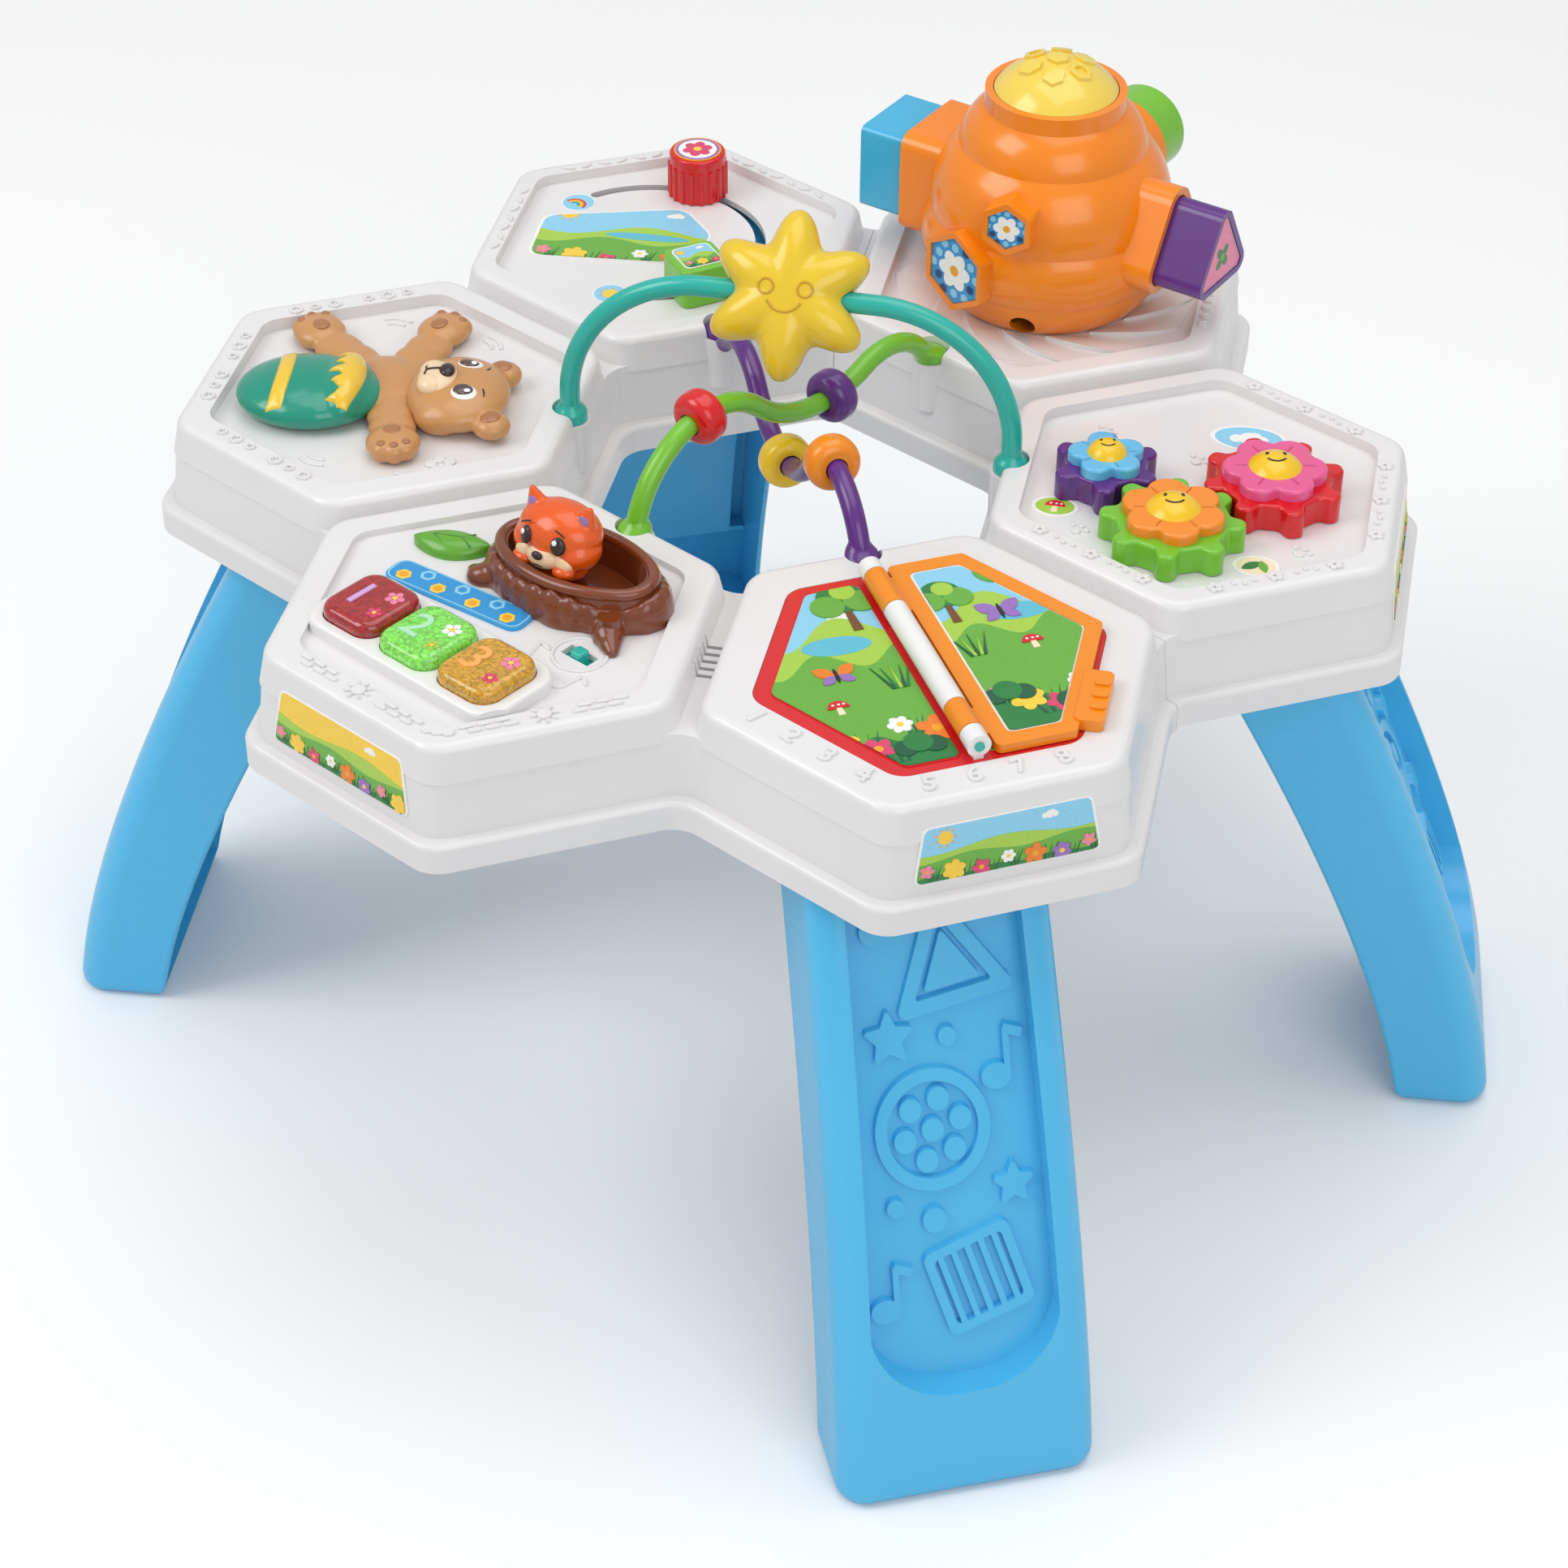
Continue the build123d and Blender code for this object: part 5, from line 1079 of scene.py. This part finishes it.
def dress_log():
    base, trunk = log_place().matrix(), MADE["log_bark"]
    eggs = []
    for a in (math.radians(12 * k) for k in range(30)):
        x, y = 39.2 * math.cos(a), 21.6 * math.sin(a)
        out = math.degrees(math.atan2(y / 22 ** 2, x / 40 ** 2))
        wave = math.sin(3 * a + 0.6) + 0.7 * math.sin(5 * a + 2.0)
        dx, dy = polar(0.5 + 0.6 * wave, out)
        eggs.append(((x + dx, y + dy, 3.5), (4.4 + 0.5 * wave, 7.0, 10.0 + 1.6 * wave), (0, 0, out)))
    eggs += [((x, y, 1.5), radii, (0, 0, turn)) for x, y, radii, turn in (
        (30, -19.5, (8, 7, 7), -50), (34, -23.5, (7, 5, 4.6), -50), (37.5, -27, (4.6, 3.4, 3.0), -50),
        (-36, -16, (8, 6, 6), 25), (-41, -14.5, (5, 3.6, 3.4), 15), (6, -23, (9, 5, 5), 0))]
    moulded("log_roots", "table", eggs, trunk, base, 0.9, 14, FLOOR_Z["fox"])
    roll = [(36.2 * math.cos(a), 20.0 * math.sin(a), 16.0 + 0.25 * math.sin(5 * a))
            for a in (math.radians(6 * k) for k in range(61))]
    line_piece("log_rim_roll", "table", [roll], 2.7, trunk, base)


def make_leaf():
    long, half_wide, bulge, thick = 34, 9.0, 2.6, 4.0
    place = tray("fox", -47, 22, 28, FLOOR_Z["fox"] + thick)
    rows = []
    for j in range(17):
        t = 0.01 + 0.98 * j / 16
        x, swell = long * (t - 0.5), math.sin(math.pi * t)
        half = half_wide * swell ** 0.75
        rows.append([place.at(x, -half, -thick)]
                    + [place.at(x, half * s, bulge * (1 - s * s) * swell ** 0.6 - 1.6 * s ** 4)
                       for s in (i / 6 for i in range(-6, 7))]
                    + [place.at(x, half, -thick)])
    bm = bmesh.new()
    loft(bm, rows)
    piece = new_piece("leaf_blade", bm, "table", [MADE["leaf_plastic"]], 60.0)
    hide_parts("leaf")
    runs = [[(-15.5, 0, 0.6), (-8, 0, 2.0), (0, 0, 2.65), (8, 0, 2.0), (15.5, 0, 0.6)]]
    runs += [[(x, 0, 2.2), (x + 3, side * 2.4, 2.0), (x + 5, side * 4.6, 1.4)]
             for x in (-8, -2, 4) for side in SIDES]
    line_piece("leaf_veins", "table", runs, 0.35, plastic("leaf_vein", tone(64, 132, 30), 0.3),
               place.matrix())


# Bear and honey pot, turned in their tray
BEAR_TURN = -52
BEAR_FOOT = FLOOR_Z["bear"] + 0.6


def bear_base(x, y):
    return tray("bear", x, y, BEAR_TURN, BEAR_FOOT).matrix()


def make_bear():
    coat = plastic("bear_plastic", colours().bear, 0.3, 0.25, 420.0, 0.06, 0.05)
    tan = plastic("bear_tan_deep", tone(172, 116, 70), 0.3, 0.25)
    base = bear_base(31, 12)
    head = [((0, 0, 8.0), (27.0, 23.0, 10.5)), ((0, -7, 10.0), (13, 11, 9.0))]
    head += [((s * 15, -6, 6.5), (11, 12, 8.0)) for s in SIDES]
    head += [((s * 21, 17.0, 6.0), (8.6, 8.6, 5.4)) for s in SIDES]
    piece = moulded("bear_face", "bear", head, coat, base, foot=BEAR_FOOT)
    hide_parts("bear_head")
    muzzle = [((0, -8.5, 15.6), (11.5, 9.4, 5.6))] + [((s * 5, -11, 16.0), (7.0, 6.6, 4.8)) for s in SIDES]
    whites = [((s * 11.8, 4.4, 15.6), (5.6, 6.4, 2.6), (-10, s * 16, 0)) for s in SIDES]
    irises = [((s * 11.4, 4.0, 16.9), (4.2, 4.9, 1.9), (-10, s * 16, 0)) for s in SIDES]
    # The white dots on the eyes are painted highlights; the eye whites are the eyes' own colour.
    lights = [((s * 11.4 + 1.3, 5.8, 18.5), (1.3, 1.5, 0.6)) for s in SIDES]
    inner = [((s * 21, 16.6, 9.8), (5.0, 5.0, 2.2)) for s in SIDES]
    for part, stud, mat in (("muzzle", muzzle, plastic("bear_cream", tone(240, 212, 172), 0.3, 0.25)),
                            ("nose", [((0, -4.6, 20.4), (4.8, 3.6, 2.4))], face_ink()),
                            ("eye_whites", whites, eye_white()),
                            ("eyes", irises, plastic("bear_brown", tone(84, 66, 62), 0.2, 0.5)),
                            ("painted_eye_highlights", lights, eye_white()), ("inner_ears", inner, tan)):
        studs("bear_" + part, "bear", stud, mat, base)
    lip = (0, -13.2, 20.7)
    lines = [[(0, -7.6, 21.5), (0, -11.0, 21.3), lip],
             [(-6, -12.2, 19.8), (-3.2, -14.8, 19.6), lip, (3.2, -14.8, 19.6), (6, -12.2, 19.8)]]
    lines += [[(s * 8, 12.0, 16.2), (s * 11.5, 13.6, 15.2), (s * 15, 11.8, 13.6)] for s in SIDES]
    line_piece("bear_lines", "bear", lines, 0.5, face_ink(), base)
    base, flat = tray("bear", z=BEAR_FOOT).matrix(), (0, 0, BEAR_TURN)
    limbs, pads = [((-4, -1, 4.4), (23, 21, 6.4), flat)], []
    for x, y, long, wide, turn in ((-58, 11, 13, 12.0, 160), (-17, 49, 13, 11.6, 100),
                                   (34, -31, 12, 12.2, -40)):
        limbs.append(((x, y, 4.6), (long, wide, 6.0), (0, 0, turn)))
        way = math.degrees(math.atan2(y, x))
        limbs += [((x * share, y * share, 3.6), (math.hypot(x, y) * 0.26, girth, 5.0), (0, 0, way))
                  for share, girth in ((0.3, 12.0), (0.5, 11.4), (0.7, 10.8))]
        for k in (-1, 0, 1):
            ox, oy = polar(long * 0.66, turn + 40 * k)
            limbs.append(((x + ox, y + oy, 4.6), (5.0, 5.0, 5.0), flat))
            pads.append(((x + ox * 1.05, y + oy * 1.05, 9.0), (2.0, 2.0, 1.0), flat))
        ox, oy = polar(2.4, turn)
        pads.append(((x - ox, y - oy, 10.0), (4.4, 3.8, 1.2), (0, 0, turn)))
    piece = moulded("bear_limbs", "bear", limbs, coat, base, foot=BEAR_FOOT)
    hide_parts("bear_body")
    studs("bear_pads", "bear", pads, tan, base)


def crown(eggs):
    """The height of the upper side of level stretched balls over a point."""
    def height(x, y):
        best = 0.0
        for (cx, cy, cz), (rx, ry, rz) in eggs:
            inside = 1 - ((x - cx) / rx) ** 2 - ((y - cy) / ry) ** 2
            if inside > 0:
                best = max(best, cz + rz * math.sqrt(inside))
        return best
    return height


def coating(name, height, reach, low, high, thick, base, across, over):
    """A thin soft layer of honey on a rounded form, between two edges that follow lines of their own."""
    rows = []
    for i in range(across + 1):
        s = 2 * i / across - 1
        x = reach * s
        upper, lower = [], []
        for j in range(over + 1):
            y = low(x) + (high(x) - low(x)) * j / over
            swell = (1 - s ** 10) * (1 - (2 * j / over - 1) ** 4)
            upper.append(base @ (Vector((x, y, height(x, y) + thick * swell)) * MM))
            lower.append(base @ (Vector((x, y, height(x, y) - HONEY_SINK)) * MM))
        rows.append(upper + lower[::-1])
    bm = bmesh.new()
    rows = loft(bm, rows, capped=False)
    for row in (rows[0], rows[-1]):
        for j in range(over):
            bm.faces.new((row[j], row[j + 1], row[-2 - j], row[-1 - j]))
    gold = plastic("honey_plastic", tone(242, 200, 52), 0.2, 0.6, 420.0, 0.05, 0.1)
    new_piece(name, bm, "bear", [gold], 60.0)


def make_pot():
    base = bear_base(-21, -29)
    teal = plastic("pot_plastic", colours().pot, 0.24, 0.45, 420.0, 0.06, 0.05)
    pot = [((0, 0, 7.0), (26.8, 32.8, 11.0)), ((0, -3, 9.5), (23, 25, 9.0)),
           ((0, 16, 8.5), (23.5, 12.5, 11.0))]
    piece = moulded("pot_body", "bear", pot, teal, base, foot=BEAR_FOOT)
    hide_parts("honey_pot")

    def drip(x):
        return 15.5 - 6.5 * (0.5 + 0.5 * math.cos(math.tau * x / 8.6)) ** 1.4 * (0.7 + 0.3 * math.cos(x))

    coating("pot_honey", crown(pot), 21.5, drip, lambda x: 25.5 - 0.012 * x * x, 1.5, base, 120, 14)
    coating("pot_belt", crown(pot), 22.6, lambda x: -13.5 - 0.004 * x * x, lambda x: -6.5 - 0.004 * x * x,
            0.9, base, 60, 10)


# Book pictures, with the hinge's line across the tray
BOOK_TURN = 60
BED_REACH = 65.8


def dress_book():
    place = tray("book", turn=BOOK_TURN, z=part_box("book_bed")[1][2] / MM)
    slant = math.cos(math.radians(30))
    wide, tall = 60.8, BED_REACH / slant
    near = softened([(-10, wide), (5 - tall / 2, wide), (8 - tall, 0), (5 - tall / 2, -wide), (-10, -wide)],
                    3.0)
    art = meadow(66, 124, "sky", 0.2, 5, 0.8, False, True, 0.20)
    art += round_tree(-22, 22, 40, 8) + round_tree(19, 30, 30, 8)
    art += bush(-16, -46, 14, 10) + bush(16, -50, 12, 10)
    art += toadstool(-6, -22, 9, 9) + flutter(0, 3, 11, "orange", 9)
    art += tuft(22, -12, 16, ("forest", "leaf", "lime"), 9)
    label("bed_picture", "table", place, near, shifted(art, -39), "book_print", "red", 0.4)
    far = softened([(2, wide), (2, -wide), (tall / 2 - 5, -wide), (tall - 8, 0), (tall / 2 - 5, wide)], 3.0)
    art = meadow(76, 124, "cream", 1.1, 5, 0.8, True, False, 0.16)
    art += round_tree(20, 16, 36, 8) + bush(-20, -40, 14, 10) + flutter(-16, 22, 11, "rose", 9)
    label("bed_picture_far", "table", place, far, shifted(art, 36), "book_print", "lime", 0.4, 0.16)
    inner = BED_REACH - 2.0 - 7.3
    peak = inner / slant
    sheet = [(11.4, inner), (11.4, -inner), (peak / 2, -inner), (peak, 0), (peak / 2, inner)]
    card = tray("book", turn=BOOK_TURN, z=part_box("page_card")[1][2] / MM - 0.35)
    art = meadow(60, 116, "sky", 2.2, 5, 0.8, False, True, 0.18)
    art += round_tree(15, 26, 36, 8) + round_tree(-20, 18, 26, 8)
    art += bush(10, -44, 13, 10) + bush(-18, -34, 12, 10)
    art += flutter(-1, 20, 12, "lilac", 9) + toadstool(4, -8, 9, 9) + tuft(-20, -6, 15, ("forest", "lime"), 9)
    label("page_picture", "page", card, softened(sheet, 2.5), shifted(art, 38), "page_print", "paper", 0.3)
    under = Place((*tile_centre("book"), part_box("page_frame")[0][2] / MM), -card.right, card.up)
    back = [(-x, y) for x, y in reversed(sheet)]
    art = meadow(60, 116, "cream", 0.7, 5, 0.8, False, False, 0.14)
    art += round_tree(-12, 20, 34, 8) + flutter(14, 36, 11, "orange", 9)
    label("page_back_picture", "page", under, softened(back, 2.5), shifted(art, -38), "page_print", "paper",
          0.3, 0.16)


# Stage: the camera by its angles in degrees, the point that it looks past and its distance, in metres
WHITE = (1, 1, 1, 1)
AZIMUTH, ELEVATION, ROLL = (math.radians(angle) for angle in (41.3, 38.0, 0.5))
AIM = (0, 0, 0.212)
AWAY, TO_RIGHT, TO_TOP = 1.6525, -0.0013, -0.0746
SENSOR = 36.0
FOCAL_SHARE = 4500.0 / 1932.0
LAMP_AIM = (0, 0, 0.25)
LAMPS = (("key_lamp", (-1.1, -1.6, 2.2), 1.4, 22.0), ("fill_lamp", (2.0, -1.0, 1.6), 1.6, 14.0),
         ("top_lamp", (0.1, 0.4, 2.6), 2.0, 19.0))


def lay_floor():
    bm = bmesh.new()
    bmesh.ops.create_grid(bm, x_segments=2, y_segments=2, size=6.0)
    floor = linked("floor", mesh_of("floor", bm))
    floor.location = (0, 0, -0.0004)
    look = {"Roughness": 0.7, "Specular IOR Level": 0.1}
    mat = material("floor_paper", print_grain, (0.8, 0.8, 0.81), look)
    tree = mat.node_tree
    base = tree.nodes["Principled BSDF"].inputs["Base Color"]
    seen = put(tree, "LightPath", {}, "Is Camera Ray")
    given = {0: seen, 6: base.links[0].from_socket, 7: WHITE}
    tree.links.new(put(tree, "Mix", given, 2, data_type="RGBA"), base)
    floor.data.materials.append(mat)


def light_stage():
    world = bpy.context.scene.world = bpy.data.worlds.new("studio")
    world.use_nodes = True
    tree = world.node_tree
    back = tree.nodes["Background"]
    feed(tree, back, {"Color": (0.98, 0.99, 1.0, 1), "Strength": 0.55})
    white = put(tree, "Background", {"Color": WHITE, "Strength": 1.0})
    seen = put(tree, "LightPath", {}, "Is Camera Ray")
    shown = put(tree, "MixShader", {"Fac": seen, 1: back.outputs["Background"], 2: white})
    feed(tree, tree.nodes["World Output"], {"Surface": shown})
    for name, where, size, power in LAMPS:
        lamp = bpy.data.lights.new(name, "AREA")
        lamp.size = size
        lamp.energy = power
        holder = linked(name, lamp)
        holder.location = where
        holder.rotation_euler = (Vector(LAMP_AIM) - Vector(where)).to_track_quat("-Z", "Y").to_euler()


def set_camera():
    scene = bpy.context.scene
    away = Vector((math.sin(AZIMUTH) * math.cos(ELEVATION), -math.cos(AZIMUTH) * math.cos(ELEVATION),
                   math.sin(ELEVATION)))
    flat = Vector((math.cos(AZIMUTH), math.sin(AZIMUTH), 0))
    high = away.cross(flat)
    right = flat * math.cos(ROLL) + high * math.sin(ROLL)
    up = high * math.cos(ROLL) - flat * math.sin(ROLL)
    rows = Matrix((right, up, away)).transposed().to_4x4()
    rows.translation = Vector(AIM) + away * AWAY + right * TO_RIGHT + up * TO_TOP
    data = bpy.data.cameras.new("photo_camera")
    data.sensor_width = SENSOR
    data.lens = FOCAL_SHARE * SENSOR
    camera = linked("photo_camera", data)
    camera.matrix_world = rows
    scene.camera = camera
    scene.view_settings.view_transform = "Standard"


class TABLE_OT_mouldings(bpy.types.Operator):
    """Give every moulding its plastic"""
    bl_idname = "activity_table.mouldings"
    bl_label = "Finish Mouldings"
    execute = execute_with(finish_mouldings)


class TABLE_OT_rims(bpy.types.Operator):
    """Raise the motifs and digits on the tray rims"""
    bl_idname = "activity_table.rims"
    bl_label = "Raise Rim Motifs"
    execute = execute_with(raise_rims)


class TABLE_OT_trays(bpy.types.Operator):
    """Raise the motifs in the trays and the swirl under the hive"""
    bl_idname = "activity_table.trays"
    bl_label = "Raise Tray Motifs"
    execute = execute_with(raise_trays)


class TABLE_OT_wall_labels(bpy.types.Operator):
    """Lay the meadow labels on the outer walls"""
    bl_idname = "activity_table.wall_labels"
    bl_label = "Lay Wall Labels"
    execute = execute_with(lay_wall_labels)


class TABLE_OT_tray_labels(bpy.types.Operator):
    """Lay the labels in the slider, gear and light trays"""
    bl_idname = "activity_table.tray_labels"
    bl_label = "Lay Tray Labels"
    execute = execute_with(lay_slider_labels, lay_gear_labels, lay_strip)


class TABLE_OT_wires(bpy.types.Operator):
    """Seat the bead wires in their posts"""
    bl_idname = "activity_table.wires"
    bl_label = "Seat Wires"
    execute = execute_with(seat_wires)


class TABLE_OT_star(bpy.types.Operator):
    """Make the puffed star on the arch"""
    bl_idname = "activity_table.star"
    bl_label = "Make Star"
    execute = execute_with(make_star)


class TABLE_OT_flowers(bpy.types.Operator):
    """Make the flower centres on the gears"""
    bl_idname = "activity_table.flowers"
    bl_label = "Make Gear Flowers"
    execute = execute_with(make_flowers)


class TABLE_OT_knobs(bpy.types.Operator):
    """Lay the pictures on the sliding knobs and on the blocks"""
    bl_idname = "activity_table.knobs"
    bl_label = "Dress Knobs and Blocks"
    execute = execute_with(dress_knobs, dress_blocks)


class TABLE_OT_hive(bpy.types.Operator):
    """Lay the honeycomb pictures in the hive's plaques"""
    bl_idname = "activity_table.hive"
    bl_label = "Dress Hive"
    execute = execute_with(dress_hive)


class TABLE_OT_keys(bpy.types.Operator):
    """Give the number keys their glitter, digits and flowers"""
    bl_idname = "activity_table.keys"
    bl_label = "Dress Keys"
    execute = execute_with(dress_keys)


class TABLE_OT_fox(bpy.types.Operator):
    """Make the fox that slides in the log"""
    bl_idname = "activity_table.fox"
    bl_label = "Make Fox"
    execute = execute_with(make_fox)


class TABLE_OT_log(bpy.types.Operator):
    """Dress the hollow log and the leaf"""
    bl_idname = "activity_table.log"
    bl_label = "Dress Log"
    execute = execute_with(dress_log, make_leaf)


class TABLE_OT_bear(bpy.types.Operator):
    """Make the rocking bear and its honey pot"""
    bl_idname = "activity_table.bear"
    bl_label = "Make Bear"
    execute = execute_with(make_bear, make_pot)


class TABLE_OT_book(bpy.types.Operator):
    """Lay the pictures in the book and on its page"""
    bl_idname = "activity_table.book"
    bl_label = "Dress Book"
    execute = execute_with(dress_book)


class TABLE_OT_stage(bpy.types.Operator):
    """Set the floor, the lamps and the camera"""
    bl_idname = "activity_table.stage"
    bl_label = "Set Stage"
    execute = execute_with(lay_floor, light_stage, set_camera)


STEPS = ("mouldings", "rims", "trays", "wall_labels", "tray_labels", "wires", "star", "flowers", "knobs",
         "hive", "keys", "fox", "log", "bear", "book", "stage")


class TABLE_PT_panel(bpy.types.Panel):
    """Steps and settings of the activity table"""
    bl_label = "Activity Table"
    bl_idname = "TABLE_PT_panel"
    bl_space_type = "VIEW_3D"
    bl_region_type = "UI"
    bl_category = "Activity Table"

    def draw(self, context):
        column = self.layout.column()
        for step in STEPS:
            column.operator("activity_table." + step)
        for group in (context.scene.table_colours, context.scene.table_sizes):
            for key in group.__annotations__:
                column.prop(group, key)


CLASSES = (TableColours, TableSizes, TABLE_OT_mouldings, TABLE_OT_rims, TABLE_OT_trays, TABLE_OT_wall_labels,
           TABLE_OT_tray_labels, TABLE_OT_wires, TABLE_OT_star, TABLE_OT_flowers, TABLE_OT_knobs,
           TABLE_OT_hive, TABLE_OT_keys, TABLE_OT_fox, TABLE_OT_log, TABLE_OT_bear, TABLE_OT_book,
           TABLE_OT_stage, TABLE_PT_panel)


def register():
    for cls in CLASSES:
        bpy.utils.register_class(cls)
    bpy.types.Scene.table_colours = PointerProperty(type=TableColours)
    bpy.types.Scene.table_sizes = PointerProperty(type=TableSizes)


def unregister():
    del bpy.types.Scene.table_sizes
    del bpy.types.Scene.table_colours
    for cls in reversed(CLASSES):
        bpy.utils.unregister_class(cls)


def main():
    register()
    for step in STEPS:
        getattr(bpy.ops.activity_table, step)()


if __name__ == "__main__":
    main()
